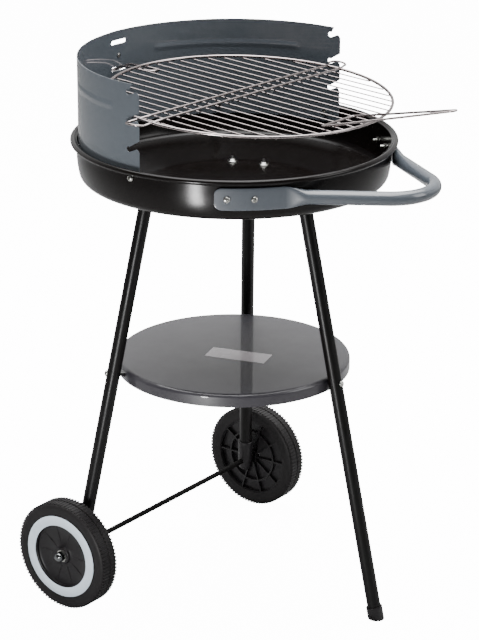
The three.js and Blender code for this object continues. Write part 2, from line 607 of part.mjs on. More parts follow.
// profiles run in from the outer face, which is at 0
const discProfile = [
  [HUB.bore, 4], [HUB.radius, 4], [HUB.radius, 8], [DRUM.outer - DRUM.wall, 8], [DRUM.outer - DRUM.wall, 3.6],
  [DRUM.inner, 3.6], [DRUM.inner, 1.5], [DRUM.outer, 1.5], [DRUM.outer, 30], [DRUM.outer - DRUM.wall, 30],
  [DRUM.outer - DRUM.wall, 11], [HUB.radius, 11], [HUB.radius, WHEEL_WIDTH], [HUB.bore, WHEEL_WIDTH], [HUB.bore, 4],
];
const tyreProfile = [
  [TYRE_SEAT, 1.6], [66, 0.6], [76, 0], [80.5, 2.5], [WHEEL_RADIUS, 6], [WHEEL_RADIUS, WHEEL_WIDTH - 6],
  [80.5, WHEEL_WIDTH - 2.5], [76, WHEEL_WIDTH], [TYRE_SEAT, WHEEL_WIDTH - 1], [TYRE_SEAT, 1.6],
];
const trimProfile = [
  [TRIM.inner, 0], [TRIM.outer, 0], [TRIM.outer, TRIM.thickness], [TRIM.inner, TRIM.thickness], [TRIM.inner, 0],
].map(([r, a]) => [r, a - 0.9]);
const washerProfile = [[AXLE_RADIUS + GAP, 0], [9, 0], [9, 1.5], [AXLE_RADIUS + GAP, 1.5], [AXLE_RADIUS + GAP, 0]];
const domeNutProfile = [[AXLE_RADIUS + GAP, 0], [7.5, 0], [7.5, 4], [6.4, 7.5], [3.6, 9.8], [0, 10.5], [0, 8.5], [AXLE_RADIUS + GAP, 8.5], [AXLE_RADIUS + GAP, 0]];

for (const side of [-1, 1]) {
  const name = side < 0 ? "left" : "right";
  const inwards = new THREE.Vector3(-side, 0, 0);
  const outer = WHEEL_INNER_FACE + WHEEL_WIDTH;
  const face = axlePoint(side * outer);
  add(`tyre_${name}`, aim(lathe(tyreProfile, WHEEL_SIDES), inwards, face), tyrePlastic);
  add(`wheel_disc_${name}`, aim(lathe(discProfile, WHEEL_SIDES), inwards, face), blackPlastic);
  add(`trim_ring_${name}`, aim(lathe(trimProfile, WHEEL_SIDES), inwards, face), whiteTrim);
  add(`axle_washer_${name}`, aim(lathe(washerProfile), inwards, axlePoint(side * (outer - 2))), zincPlate);
  add(`axle_nut_${name}`, aim(lathe(domeNutProfile), inwards.clone().negate(), axlePoint(side * (AXLE_HALF_LENGTH - 8))), zincPlate);
}

// ---------------------------------------------------------------- origin: middle of the footprint, on the floor
const extent = new THREE.Box3().setFromObject(grill, true);
const middle = extent.getCenter(new THREE.Vector3());
grill.position.set(-middle.x, -middle.y, -extent.min.z);

export default grill;
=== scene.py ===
"""Looks of a round charcoal grill on three tube legs, with windshield, wire grate, shelf and two wheels."""

import json
import logging
import math
from dataclasses import dataclass, field, replace
from enum import Enum
from typing import Callable, Sequence

import bmesh
import bpy
from mathutils import Matrix, Vector

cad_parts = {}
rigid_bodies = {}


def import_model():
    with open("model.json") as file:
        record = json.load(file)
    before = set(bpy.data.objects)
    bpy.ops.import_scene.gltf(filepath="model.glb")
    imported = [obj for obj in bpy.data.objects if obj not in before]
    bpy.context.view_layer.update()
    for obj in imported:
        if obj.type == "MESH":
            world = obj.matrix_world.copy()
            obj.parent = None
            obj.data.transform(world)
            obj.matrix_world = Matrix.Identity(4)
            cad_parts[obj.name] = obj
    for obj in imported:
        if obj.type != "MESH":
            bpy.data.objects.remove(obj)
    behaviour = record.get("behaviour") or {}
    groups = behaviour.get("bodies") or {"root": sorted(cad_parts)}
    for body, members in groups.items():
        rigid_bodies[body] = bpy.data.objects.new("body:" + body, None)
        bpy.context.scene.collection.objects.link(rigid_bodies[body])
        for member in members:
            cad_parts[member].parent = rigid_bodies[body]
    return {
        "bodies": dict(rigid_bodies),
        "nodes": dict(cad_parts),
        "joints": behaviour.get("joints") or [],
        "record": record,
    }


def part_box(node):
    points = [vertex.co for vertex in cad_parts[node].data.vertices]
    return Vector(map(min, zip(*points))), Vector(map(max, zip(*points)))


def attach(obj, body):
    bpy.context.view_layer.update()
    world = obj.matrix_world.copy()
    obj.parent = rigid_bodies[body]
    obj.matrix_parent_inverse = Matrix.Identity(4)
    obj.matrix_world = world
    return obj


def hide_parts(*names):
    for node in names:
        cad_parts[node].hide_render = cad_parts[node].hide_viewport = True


LOG = logging.getLogger("grill")
MM = 0.001
# the embossed bead of each windshield half, in metres and radians
BEAD_HEIGHT = 0.771  # above the floor
BEAD_HALF_WIDTH = 0.0075
BEAD_MIDDLE = 0.87  # angle from straight back to its middle
BEAD_REACH = 0.52  # half the angle that it covers
BEAD_FADE = 0.05  # angle over which each end runs out
Section = list[Vector]


class Side(Enum):
    """The two sides of the grill, as a sign along X."""

    LEFT = -1
    RIGHT = 1


# ---------------------------------------------------------------- small helpers
def linear(hex_colour: str) -> tuple[float, float, float, float]:
    """Turns an sRGB hex colour to the linear colour that shaders take.

    Args:
        hex_colour: six hex digits after a #.

    Returns:
        Linear red, green, blue and an alpha of 1.
    """
    parts = [int(hex_colour[i : i + 2], 16) / 255 for i in (1, 3, 5)]
    red, green, blue = (c / 12.92 if c <= 0.04045 else ((c + 0.055) / 1.055) ** 2.4 for c in parts)
    return red, green, blue, 1.0


def add_node(
    tree: bpy.types.NodeTree,
    kind: str,
    settings: dict | None = None,
    inputs: dict | None = None,
) -> bpy.types.Node:
    """Adds a node with its settings, its values and its incoming links.

    Args:
        tree: the tree the node goes into.
        kind: the node's type name.
        settings: properties of the node.
        inputs: value, or output socket to link, by input name or index.

    Returns:
        The new node.
    """
    node = tree.nodes.new(kind)
    for name, value in (settings or {}).items():
        setattr(node, name, value)
    for name, value in (inputs or {}).items():
        socket = node.inputs[name]
        if isinstance(value, bpy.types.NodeSocket):
            tree.links.new(value, socket)
        else:
            socket.default_value = value
    return node


def outward(bearing: float) -> Vector:
    """Direction away from the bowl's axis; 0 degrees is the front, 90 is +X."""
    angle = math.radians(bearing)
    return Vector((math.sin(angle), -math.cos(angle), 0.0))


def new_object(
    name: str, bm: bmesh.types.BMesh, material: bpy.types.Material, smooth_angle: float = 35.0
) -> bpy.types.Object:
    """Turns a bmesh to an object with a material and soft shading below an angle.

    Args:
        name: the piece's name.
        bm: its closed mesh, in metres, in place; it is freed.
        material: what it is made of.
        smooth_angle: edges sharper than this many degrees stay crisp.

    Returns:
        The new object, at the origin.
    """
    bmesh.ops.remove_doubles(bm, verts=bm.verts, dist=1e-6)
    bmesh.ops.recalc_face_normals(bm, faces=bm.faces)
    mesh = bpy.data.meshes.new(name)
    bm.to_mesh(mesh)
    bm.free()
    mesh.materials.append(material)
    piece = bpy.data.objects.new(name, mesh)
    bpy.context.collection.objects.link(piece)
    soften(piece, smooth_angle)
    return piece


def soften(piece: bpy.types.Object, angle: float = 35.0) -> None:
    """Shades a piece smooth, apart from edges sharper than an angle in degrees."""
    mesh = piece.data
    mesh.polygons.foreach_set("use_smooth", [True] * len(mesh.polygons))
    mesh.set_sharp_from_angle(angle=math.radians(angle))
    mesh.update()


def loft(bm: bmesh.types.BMesh, sections: Sequence[Section], closed: bool = False) -> None:
    """Skins rings of points that all have the same count.

    Args:
        bm: the mesh to add to.
        sections: rings of points, in order along the piece.
        closed: joins the last ring to the first; otherwise both ends get caps.
    """
    rings = [[bm.verts.new(p) for p in ring] for ring in sections]
    pairs = list(zip(rings, rings[1:]))
    if closed:
        pairs.append((rings[-1], rings[0]))
    for a, b in pairs:
        for i in range(len(a)):
            j = (i + 1) % len(a)
            bm.faces.new((a[i], a[j], b[j], b[i]))
    if not closed:
        bm.faces.new(rings[0])
        bm.faces.new(rings[-1])


def tube(bm: bmesh.types.BMesh, path: Sequence[Vector], radius: float, sides: int = 12, closed: bool = False) -> None:
    """Sweeps a round wire along points, with its frame carried along so that it doesn't twist.

    Args:
        bm: the mesh to add to.
        path: the centreline's points.
        radius: the wire's radius.
        sides: points round the wire.
        closed: the path is a loop.
    """
    count = len(path)
    tangents = []
    for i, here in enumerate(path):
        before = path[i - 1] if closed or i else here
        after = path[(i + 1) % count] if closed or i < count - 1 else here
        tangents.append((after - before).normalized())
    normal = tangents[0].orthogonal().normalized()
    rings = []
    for here, tangent in zip(path, tangents):
        normal = (normal - tangent * normal.dot(tangent)).normalized()
        across = tangent.cross(normal)
        rings.append(
            [
                here + (normal * math.cos(a) + across * math.sin(a)) * radius
                for a in (2 * math.pi * k / sides for k in range(sides))
            ]
        )
    loft(bm, rings, closed)


def rounded(corners: Sequence[Vector], bend: float, steps: int = 6, closed: bool = True) -> list[Vector]:
    """Rounds the corners of a wire's path.

    Args:
        corners: the path's corner points.
        bend: length along both sides that the bend takes, in metres.
        steps: points in each bend.
        closed: the path is a loop; otherwise its ends stay.

    Returns:
        The points of the rounded path.
    """
    path: list[Vector] = []
    count = len(corners)
    for i, corner in enumerate(corners):
        if not closed and i in (0, count - 1):
            path.append(corner.copy())
            continue
        before, after = corners[i - 1], corners[(i + 1) % count]
        reach_in = min(bend, (before - corner).length * 0.48)
        reach_out = min(bend, (after - corner).length * 0.48)
        start = corner + (before - corner).normalized() * reach_in
        end = corner + (after - corner).normalized() * reach_out
        for k in range(steps + 1):
            t = k / steps
            path.append(start * (1 - t) ** 2 + corner * 2 * t * (1 - t) + end * t**2)
    return path


def turned(bm: bmesh.types.BMesh, profile: Sequence[tuple[float, float]], place: Matrix, sides: int = 48) -> None:
    """Turns a closed profile about its local Z axis.

    Args:
        bm: the mesh to add to.
        profile: (radius, height) points; a radius of 0 closes on the axis.
        place: where the turned shape's frame goes.
        sides: steps round the axis.
    """
    columns = []
    for k in range(sides):
        angle = 2 * math.pi * k / sides
        columns.append([place @ Vector((r * math.cos(angle), r * math.sin(angle), z)) for r, z in profile])
    verts = [[bm.verts.new(p) for p in column] for column in columns]
    for k in range(sides):
        a, b = verts[k], verts[(k + 1) % sides]
        for i in range(len(profile) - 1):
            if profile[i][0] <= 1e-9 and profile[i + 1][0] <= 1e-9:
                continue
            face = [a[i], b[i], b[i + 1], a[i + 1]]
            if profile[i][0] <= 1e-9:
                face = [a[i], b[i + 1], a[i + 1]]
            elif profile[i + 1][0] <= 1e-9:
                face = [a[i], b[i], a[i + 1]]
            bm.faces.new(face)


def grown(tree: bpy.types.NodeTree, values: dict) -> bpy.types.Mesh:
    """Evaluates a Geometry Nodes tree on an empty object.

    Args:
        tree: the tree, which ends in plain geometry with its material.
        values: what goes into the tree's inputs, by their names.

    Returns:
        The tree's result as a plain mesh.
    """
    holder = bpy.data.objects.new("holder", bpy.data.meshes.new("holder"))
    bpy.context.collection.objects.link(holder)
    modifier = holder.modifiers.new("grow", "NODES")
    modifier.node_group = tree
    for item in tree.interface.items_tree:
        if item.in_out == "INPUT":
            modifier[item.identifier] = values[item.name]
    mesh = bpy.data.meshes.new_from_object(holder.evaluated_get(bpy.context.evaluated_depsgraph_get()))
    bpy.data.objects.remove(holder)
    return mesh


# ---------------------------------------------------------------- finishes
def embossed_beads(tree: bpy.types.NodeTree, coords: bpy.types.NodeSocket) -> bpy.types.NodeSocket:
    """Height of the long bead pressed into each half of the windshield.

    Args:
        tree: the material's tree.
        coords: Object coordinates in metres.

    Returns:
        A height from 0 to 1.
    """
    low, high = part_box("bowl")
    centre = ((low[0] + high[0]) / 2, (low[1] + high[1]) / 2, BEAD_HEIGHT)
    local = add_node(tree, "ShaderNodeVectorMath", {"operation": "SUBTRACT"}, {0: coords, 1: centre})
    parts = add_node(tree, "ShaderNodeSeparateXYZ", inputs={0: local.outputs[0]})
    # angle round the bowl from straight back, the same on both sides
    angle = add_node(tree, "ShaderNodeMath", {"operation": "ARCTAN2"}, {0: parts.outputs["X"], 1: parts.outputs["Y"]})
    even = add_node(tree, "ShaderNodeMath", {"operation": "ABSOLUTE"}, {0: angle.outputs[0]})
    off = add_node(tree, "ShaderNodeMath", {"operation": "SUBTRACT"}, {0: even.outputs[0], 1: BEAD_MIDDLE})
    past = add_node(tree, "ShaderNodeMath", {"operation": "ABSOLUTE"}, {0: off.outputs[0]})
    rise = add_node(tree, "ShaderNodeMath", {"operation": "ABSOLUTE"}, {0: parts.outputs["Z"]})
    smooth = {"interpolation_type": "SMOOTHSTEP"}
    flank = {"From Min": 0.0, "From Max": BEAD_HALF_WIDTH, "To Min": 1.0, "To Max": 0.0}
    across = add_node(tree, "ShaderNodeMapRange", smooth, {"Value": rise.outputs[0], **flank})
    ends = {"From Min": BEAD_REACH - BEAD_FADE, "From Max": BEAD_REACH, "To Min": 1.0, "To Max": 0.0}
    along = add_node(tree, "ShaderNodeMapRange", smooth, {"Value": past.outputs[0], **ends})
    height = add_node(tree, "ShaderNodeMath", {"operation": "MULTIPLY"}, {0: across.outputs[0], 1: along.outputs[0]})
    return height.outputs[0]


@dataclass(frozen=True)
class Finish:
    """What a surface is made of: a base shader with fine variation in colour, gloss and height."""

    name: str
    colour: str
    roughness: float
    metallic: float = 0.0
    coat: float = 0.0
    coat_roughness: float = 0.05
    specular: float = 0.5
    shade: float = 0.06  # how much the colour varies
    grain_mm: float = 0.6  # size of the surface's fine grain
    grain_height_mm: float = 0.004
    blotch_mm: float = 60.0  # size of the slow variation in gloss
    gloss_change: float = 0.06
    relief: Callable[[bpy.types.NodeTree, bpy.types.NodeSocket], bpy.types.NodeSocket] | None = field(default=None)
    relief_mm: float = 1.0

    def build(self) -> bpy.types.Material:
        """Builds the node material.

        Returns:
            The material, on Object coordinates.
        """
        material = bpy.data.materials.new(self.name)
        material.use_nodes = True
        tree = material.node_tree
        tree.nodes.clear()
        coords = add_node(tree, "ShaderNodeTexCoord").outputs["Object"]
        grain = add_node(
            tree,
            "ShaderNodeTexNoise",
            inputs={"Vector": coords, "Scale": 1000 / self.grain_mm, "Detail": 2.0, "Roughness": 0.5},
        )
        blotch = add_node(
            tree,
            "ShaderNodeTexNoise",
            inputs={"Vector": coords, "Scale": 1000 / self.blotch_mm, "Detail": 3.0, "Roughness": 0.6},
        )
        red, green, blue, _ = linear(self.colour)
        tint = add_node(tree, "ShaderNodeValToRGB", inputs={"Fac": grain.outputs["Fac"]})
        low, high = tint.color_ramp.elements
        low.position, high.position = 0.3, 0.7
        low.color = (red * (1 - self.shade), green * (1 - self.shade), blue * (1 - self.shade), 1)
        high.color = (red * (1 + self.shade), green * (1 + self.shade), blue * (1 + self.shade), 1)
        gloss = add_node(
            tree,
            "ShaderNodeMapRange",
            inputs={
                "Value": blotch.outputs["Fac"],
                "From Min": 0.3,
                "From Max": 0.7,
                "To Min": max(0.02, self.roughness - self.gloss_change),
                "To Max": self.roughness + self.gloss_change,
            },
        )
        bump = add_node(
            tree,
            "ShaderNodeBump",
            inputs={"Strength": 1.0, "Distance": self.grain_height_mm * MM, "Height": grain.outputs["Fac"]},
        )
        if self.relief:
            bump = add_node(
                tree,
                "ShaderNodeBump",
                inputs={
                    "Strength": 1.0,
                    "Distance": self.relief_mm * MM,
                    "Height": self.relief(tree, coords),
                    "Normal": bump.outputs["Normal"],
                },
            )
        shader = add_node(
            tree,
            "ShaderNodeBsdfPrincipled",
            inputs={
                "Base Color": tint.outputs["Color"],
                "Roughness": gloss.outputs["Result"],
                "Metallic": self.metallic,
                "Specular IOR Level": self.specular,
                "Coat Weight": self.coat,
                "Coat Roughness": self.coat_roughness,
                "Normal": bump.outputs["Normal"],
                "Coat Normal": bump.outputs["Normal"],
            },
        )
        add_node(tree, "ShaderNodeOutputMaterial", inputs={"Surface": shader.outputs["BSDF"]})
        return material


# vitreous enamel on pressed steel: a deep black gloss with a faint orange peel
ENAMEL = Finish(
    "black_enamel", "#0D0A09", 0.2, specular=0.22, grain_mm=9.0, grain_height_mm=0.02, shade=0.1, gloss_change=0.03
)
# grey gloss paint on sheet steel: a dark grey under a clear, almost mirror-like skin with a little orange peel
GREY_COAT = Finish(
    "grey_gloss_paint",
    "#4A5057",
    0.45,
    coat=1.0,
    coat_roughness=0.05,
    shade=0.05,
    grain_mm=1.2,
    grain_height_mm=0.003,
    gloss_change=0.03,
)
# the same paint baked on the windshield, with a lighter base colour: painted light that makes up for the light its
# walls miss
SHIELD_COAT_PAINTED_LIGHT = replace(
    GREY_COAT, name="windshield_gloss_paint", colour="#50575E", relief=embossed_beads, relief_mm=0.8
)
# and on the shelf, darker and warmer: the darker base is painted shade against the strong light from above on its top,
# and the warm tint is a painted reflection of the warm room
SHELF_COAT_PAINTED_SHADE_REFLECTION = replace(GREY_COAT, name="shelf_gloss_paint", colour="#2D2B31", coat=0.52, coat_roughness=0.03)
# black paint on the leg tubes: satin
BLACK_COAT = Finish(
    "black_tube_paint", "#0F0E0E", 0.34, specular=0.2, shade=0.1, grain_mm=1.5, grain_height_mm=0.003
)
# blackened steel of the axle: dull
DULL_BLACK = Finish(
    "blackened_axle_steel", "#0E0D0D", 0.6, specular=0.08, shade=0.1, grain_mm=1.5, grain_height_mm=0.003
)
# chrome plated wire: bright, with slightly waved drawing marks
CHROME = Finish(
    "chrome_wire", "#A59C9B", 0.2, metallic=1.0, shade=0.06, grain_mm=3.0, grain_height_mm=0.01, gloss_change=0.05
)
# zinc plated fasteners: bright and slightly dull
ZINC = Finish("zinc_plate", "#BDBDB8", 0.27, metallic=1.0, shade=0.08, grain_mm=1.2, grain_height_mm=0.01)
# the axle's dome nuts: dark bright chrome
DARK_CHROME = Finish(
    "dark_chrome", "#77797A", 0.12, metallic=1.0, shade=0.05, grain_mm=3.0, grain_height_mm=0.006
)
# moulded black polypropylene: low gloss, fine spark-eroded texture
BLACK_PP = Finish(
    "moulded_black_pp", "#181618", 0.36, specular=0.35, shade=0.08, grain_mm=0.9, grain_height_mm=0.015
)
# the tyre is the same plastic with a duller tread
TYRE_PP = Finish(
    "moulded_tyre_pp", "#181617", 0.5, specular=0.25, shade=0.08, grain_mm=0.9, grain_height_mm=0.02
)
# smooth white ring, a little cool
WHITE_PP = Finish("white_trim_plastic", "#DCE9F4", 0.3, shade=0.02, grain_mm=2.0, grain_height_mm=0.004)
# printed film label: smooth, pale
LABEL_FILM = Finish("label_film", "#CFC8CC", 0.3, coat=0.5, shade=0.02, grain_mm=3.0, grain_height_mm=0.002)


class Paints:
    """All materials of the grill, built once."""

    def __init__(self) -> None:
        """Builds each finish."""
        self.enamel = ENAMEL.build()
        self.grey = GREY_COAT.build()
        self.shield = SHIELD_COAT_PAINTED_LIGHT.build()
        self.shelf = SHELF_COAT_PAINTED_SHADE_REFLECTION.build()
        self.black = BLACK_COAT.build()
        self.dull_black = DULL_BLACK.build()
        self.chrome = CHROME.build()
        self.zinc = ZINC.build()
        self.dark_chrome = DARK_CHROME.build()
        self.black_pp = BLACK_PP.build()
        self.tyre = TYRE_PP.build()
        self.white = WHITE_PP.build()
        self.label = LABEL_FILM.build()


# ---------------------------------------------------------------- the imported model
@dataclass
class Model:
    """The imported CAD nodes, and the place of the bowl's axis in them."""

    nodes: dict[str, bpy.types.Object]
    axis: Vector = field(init=False)

    def __post_init__(self) -> None:
        """Finds the bowl's axis from its node."""
        low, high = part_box("bowl")
        self.axis = Vector(((low[0] + high[0]) / 2, (low[1] + high[1]) / 2, 0.0))

    def spot(self, forward: float, side: float, height: float) -> Vector:
        """A point by its distance forward of the bowl's axis, to +X of it, and above the floor, in mm."""
        return self.axis + Vector((side, -forward, height)) * MM

    def turned_spot(self, forward: float, side: float, height: float, turn: float = -3.0) -> Vector:
        """The same in the directions of the windshield and the grate, which sit turned on the bowl."""
        local = Matrix.Rotation(math.radians(turn), 3, "Z") @ Vector((side, -forward, height))
        return self.axis + local * MM

    def polar(self, radius: float, bearing: float, height: float) -> Vector:
        """A point by its radius in mm and bearing in degrees about the bowl's axis."""
        return self.axis + outward(bearing) * radius * MM + Vector((0, 0, height * MM))

    def dress(self, names: Sequence[str], material: bpy.types.Material, angle: float = 35.0) -> None:
        """Puts a merged, softly shaded copy in place of CAD nodes of the stand.

        Args:
            names: the nodes.
            material: what they are made of.
            angle: edges sharper than this many degrees stay crisp.
        """
        for name in names:
            bm = bmesh.new()
            bm.from_mesh(self.nodes[name].data)
            bmesh.ops.remove_doubles(bm, verts=bm.verts, dist=2e-6)
            mesh = bpy.data.meshes.new(f"{name}_piece")
            bm.to_mesh(mesh)
            bm.free()
            mesh.materials.append(material)
            piece = bpy.data.objects.new(f"{name}_piece", mesh)
            bpy.context.collection.objects.link(piece)
            soften(piece, angle)
            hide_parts(name)
            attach(piece, "stand")
            LOG.info("dressed %s", name)


    def round_off(self, name: str) -> None:
        """Gives a dressed sheet that bends round the bowl's axis the shading of a true cylinder."""
        mesh = bpy.data.objects[f"{name}_piece"].data
        normals = []
        for face in mesh.polygons:
            for index in face.vertices:
                out = mesh.vertices[index].co - self.axis
                out.z = 0.0
                out.normalize()
                facing = face.normal.dot(out)
                normals.append(out * math.copysign(1.0, facing) if abs(facing) > 0.95 else face.normal)
        mesh.normals_split_custom_set([tuple(n) for n in normals])


# ---------------------------------------------------------------- bowl and shelf
@dataclass
class Bowl:
    """The pressed and enamelled bowl with its rolled rim. Sizes in mm."""

    wall: float = 226.2
    sheet: float = 1.1
    floor: float = 609.5
    wall_end: float = 672.0
    lean: float = 12.3  # degrees the wall leans in at the corner
    corner: tuple[float, float, float] = (223.2, 13.0, 642.0)  # wall there, radius, height
    cone: float = 16.0
    bead: tuple[float, float, float] = (231.0, 686.0, 4.0)  # centre radius, height, bead radius

    def curve(self, inset: float) -> list[tuple[float, float]]:
        """The bowl's section from the middle of its floor to the upright wall."""
        wall, radius, height = self.corner
        steps = 12
        first, last = math.radians(self.cone - 90), math.radians(-self.lean)
        points = []
        for k in range(steps + 1):
            a = first + (last - first) * k / steps
            points.append((wall - radius + (radius - inset) * math.cos(a), height + (radius - inset) * math.sin(a)))
        low_radius, low_height = points[0]
        slope = math.tan(math.radians(self.cone))
        flat = low_radius - (low_height - self.floor - inset) / slope
        middle = [(0.0, self.floor + inset), (flat - 9, self.floor + inset), (flat - 3, self.floor + inset + 0.35)]
        middle += [(flat + 3, self.floor + inset + 1.15), (flat + 9, self.floor + inset + 9 * slope + 0.05)]
        # the wall leans in more and more towards the corner
        start, base = points[-1]
        drop, pull = self.wall_end - base, self.wall - inset - start
        power = math.tan(math.radians(self.lean)) * drop / pull
        lean = [
            (self.wall - inset - pull * t**power, self.wall_end - drop * t)
            for t in (0.85, 0.7, 0.55, 0.4, 0.25, 0.1, 0.0)
        ]
        return [*middle, *points, *lean]

    def build(self, model: Model, paints: Paints) -> None:
        """Turns the bowl about its axis."""
        radius, height, bead = self.bead
        top = height - 3
        roll = [
            (radius + bead * math.cos(math.radians(a)), height + bead * math.sin(math.radians(a)))
            for a in range(-150, 151, 15)
        ]
        inner = self.wall - self.sheet
        profile = [*self.curve(0), (self.wall, top), *roll, (inner, top + 4), *reversed(self.curve(self.sheet))]
        bm = bmesh.new()
        place = Matrix.Translation(model.axis) @ Matrix.Scale(MM, 4)
        turned(bm, profile, place, 180)
        piece = new_object("bowl_shell", bm, paints.enamel, 40)
        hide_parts("bowl")
        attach(piece, "stand")
        LOG.info("made %s", piece.name)


@dataclass
class Shelf:
    """The round pressed shelf with its rolled-over skirt. Sizes in mm."""

    radius: float = 172.3
    top: float = 356.7
    skirt: float = 19.0
    edge: float = 6.0
    sheet: float = 1.0

    def build(self, model: Model, paints: Paints) -> None:
        """Turns the shelf about the bowl's axis."""
        steps = [math.radians(a) for a in range(0, 91, 10)]
        middle, level = self.radius - self.edge, self.top - self.edge
        outer = [(middle + self.edge * math.cos(a), level + self.edge * math.sin(a)) for a in steps]
        reach = self.edge - self.sheet
        inner = [(middle + reach * math.cos(a), level + reach * math.sin(a)) for a in reversed(steps)]
        bottom = self.top - self.skirt
        profile = [
            (0.0, self.top - self.sheet),
            *inner,
            (self.radius - self.sheet, bottom),
            (self.radius - self.sheet / 2, bottom),
            (self.radius, bottom),
            *outer,
            (0.0, self.top),
        ]
        bm = bmesh.new()
        turned(bm, profile, Matrix.Translation(model.axis) @ Matrix.Scale(MM, 4), 160)
        # the shelf's paint carries painted shade, a darker base, and a painted warm reflection, a warm tint
        piece = new_object("shelf_plate", bm, paints.shelf, 40)
        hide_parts("shelf")
        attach(piece, "stand")
        LOG.info("made %s", piece.name)


# ---------------------------------------------------------------- grate
@dataclass
class Grate:
    """The wire grate: rim, bars, hairpin crossbar, lifting handle and tongue. Sizes in mm."""

    radius: float = 203.5
    forward: float = 33.0
    side: float = -8.0
    height: float = 756.0
    tilt: float = 2.5
    rim_wire: float = 4.2
    bar_wire: float = 2.0
    frame_wire: float = 3.2
    bar_count: int = 20
    bar_pitch: float = 20.0
    bar_inset: float = 1.6  # each bar ends this much short of the rim's middle
    weld: float = 0.5  # how far a bar sinks into the rim
    notch_floor: float = 752.0
    gap: float = 0.35
    loop: tuple[float, float] = (-2.0, 27.0)  # back and front of the crossbar's loops in the notches
    loop_side: float = 221.5
    left_tip: float = 236.0
    right_tip: float = 230.0
    left_run: tuple[float, float] = (10.0, 33.0)  # back and front wire where the runs over the bars end
    right_run: tuple[float, float] = (18.0, 41.0)
    run_side: float = 196.0
    grip_base: tuple[float, float] = (173.0, 36.0)  # forward, half width
    grip_length: float = 193.0
    grip_tip: float = 4.5
    grip_rise: float = 57.5
    grip_side: float = -21.5
    hook_wire: float = 4.0
    hook_half: float = 8.0
    hook_slope: float = 27.0
    slot_height: float = 751.0
    sheet_back: float = -223.8

    def spot(self, model: Model, forward: float, side: float, above: float) -> Vector:
        """A point in the grate's own tilted plane."""
        tilt = math.radians(self.tilt)
        ahead = forward * math.cos(tilt) + above * math.sin(tilt)
        up = -forward * math.sin(tilt) + above * math.cos(tilt)
        return model.turned_spot(self.forward + ahead, self.side + side, self.height + up)

    def bars_tree(self, material: bpy.types.Material) -> bpy.types.NodeTree:
        """Builds the Geometry Nodes tree that sweeps the rim and the bars.

        Args:
            material: the wire's finish.

        Returns:
            A tree with inputs for the radii, the bars' count, pitch and lift.
        """
        tree = bpy.data.node_groups.new("grate_wires", "GeometryNodeTree")
        face = tree.interface
        face.new_socket("Geometry", in_out="OUTPUT", socket_type="NodeSocketGeometry")
        for name in ("Rim Radius", "Rim Wire", "Bar Wire", "Bar Pitch", "Bar Lift"):
            face.new_socket(name, in_out="INPUT", socket_type="NodeSocketFloat")
        face.new_socket("Bar Count", in_out="INPUT", socket_type="NodeSocketInt")
        given = add_node(tree, "NodeGroupInput").outputs
        ring = "GeometryNodeCurvePrimitiveCircle"
        rim = add_node(tree, ring, inputs={"Resolution": 128, "Radius": given["Rim Radius"]})
        rim_section = add_node(tree, ring, inputs={"Resolution": 14, "Radius": given["Rim Wire"]})
        rim_mesh = add_node(
            tree,
            "GeometryNodeCurveToMesh",
            inputs={"Curve": rim.outputs["Curve"], "Profile Curve": rim_section.outputs["Curve"], "Fill Caps": True},
        )
        # one point per bar, spread along X
        extent = add_node(tree, "ShaderNodeMath", {"operation": "SUBTRACT"}, {0: given["Bar Count"], 1: 1.0})
        half = add_node(
            tree, "ShaderNodeMath", {"operation": "MULTIPLY"}, {0: extent.outputs[0], 1: given["Bar Pitch"]}
        )
        first = add_node(tree, "ShaderNodeMath", {"operation": "MULTIPLY"}, {0: half.outputs[0], 1: -0.5})
        start = add_node(tree, "ShaderNodeCombineXYZ", inputs={"X": first.outputs[0], "Z": given["Bar Lift"]})
        step = add_node(tree, "ShaderNodeCombineXYZ", inputs={"X": given["Bar Pitch"]})
        points = add_node(
            tree,
            "GeometryNodeMeshLine",
            {"mode": "OFFSET"},
            {"Count": given["Bar Count"], "Start Location": start.outputs[0], "Offset": step.outputs[0]},
        )
        bar = add_node(
            tree, "GeometryNodeCurvePrimitiveLine", inputs={"Start": (0.0, -1.0, 0.0), "End": (0.0, 1.0, 0.0)}
        )
        # each bar is nearly as long as the rim's chord there
        place = add_node(tree, "GeometryNodeInputPosition")
        parts = add_node(tree, "ShaderNodeSeparateXYZ", inputs={0: place.outputs[0]})
        square = add_node(
            tree, "ShaderNodeMath", {"operation": "MULTIPLY"}, {0: parts.outputs["X"], 1: parts.outputs["X"]}
        )
        rim_square = add_node(
            tree, "ShaderNodeMath", {"operation": "MULTIPLY"}, {0: given["Rim Radius"], 1: given["Rim Radius"]}
        )
        rest = add_node(
            tree, "ShaderNodeMath", {"operation": "SUBTRACT"}, {0: rim_square.outputs[0], 1: square.outputs[0]}
        )
        chord = add_node(tree, "ShaderNodeMath", {"operation": "SQRT"}, {0: rest.outputs[0]})
        length = add_node(
            tree, "ShaderNodeMath", {"operation": "SUBTRACT"}, {0: chord.outputs[0], 1: self.bar_inset * MM}
        )
        size = add_node(tree, "ShaderNodeCombineXYZ", inputs={"X": 1.0, "Y": length.outputs[0], "Z": 1.0})
        bars = add_node(
            tree,
            "GeometryNodeInstanceOnPoints",
            inputs={"Points": points.outputs["Mesh"], "Instance": bar.outputs["Curve"], "Scale": size.outputs[0]},
        )
        real = add_node(tree, "GeometryNodeRealizeInstances", inputs={0: bars.outputs[0]})
        bar_section = add_node(tree, ring, inputs={"Resolution": 12, "Radius": given["Bar Wire"]})
        bar_mesh = add_node(
            tree,
            "GeometryNodeCurveToMesh",
            inputs={"Curve": real.outputs[0], "Profile Curve": bar_section.outputs["Curve"], "Fill Caps": True},
        )
        joined = add_node(tree, "GeometryNodeJoinGeometry", inputs={0: rim_mesh.outputs["Mesh"]})
        tree.links.new(bar_mesh.outputs["Mesh"], joined.inputs[0])
        done = add_node(tree, "GeometryNodeRealizeInstances", inputs={0: joined.outputs[0]})
        painted = add_node(
            tree, "GeometryNodeSetMaterial", inputs={"Geometry": done.outputs[0], "Material": material}
        )
        add_node(tree, "NodeGroupOutput", inputs={0: painted.outputs[0]})
        return tree

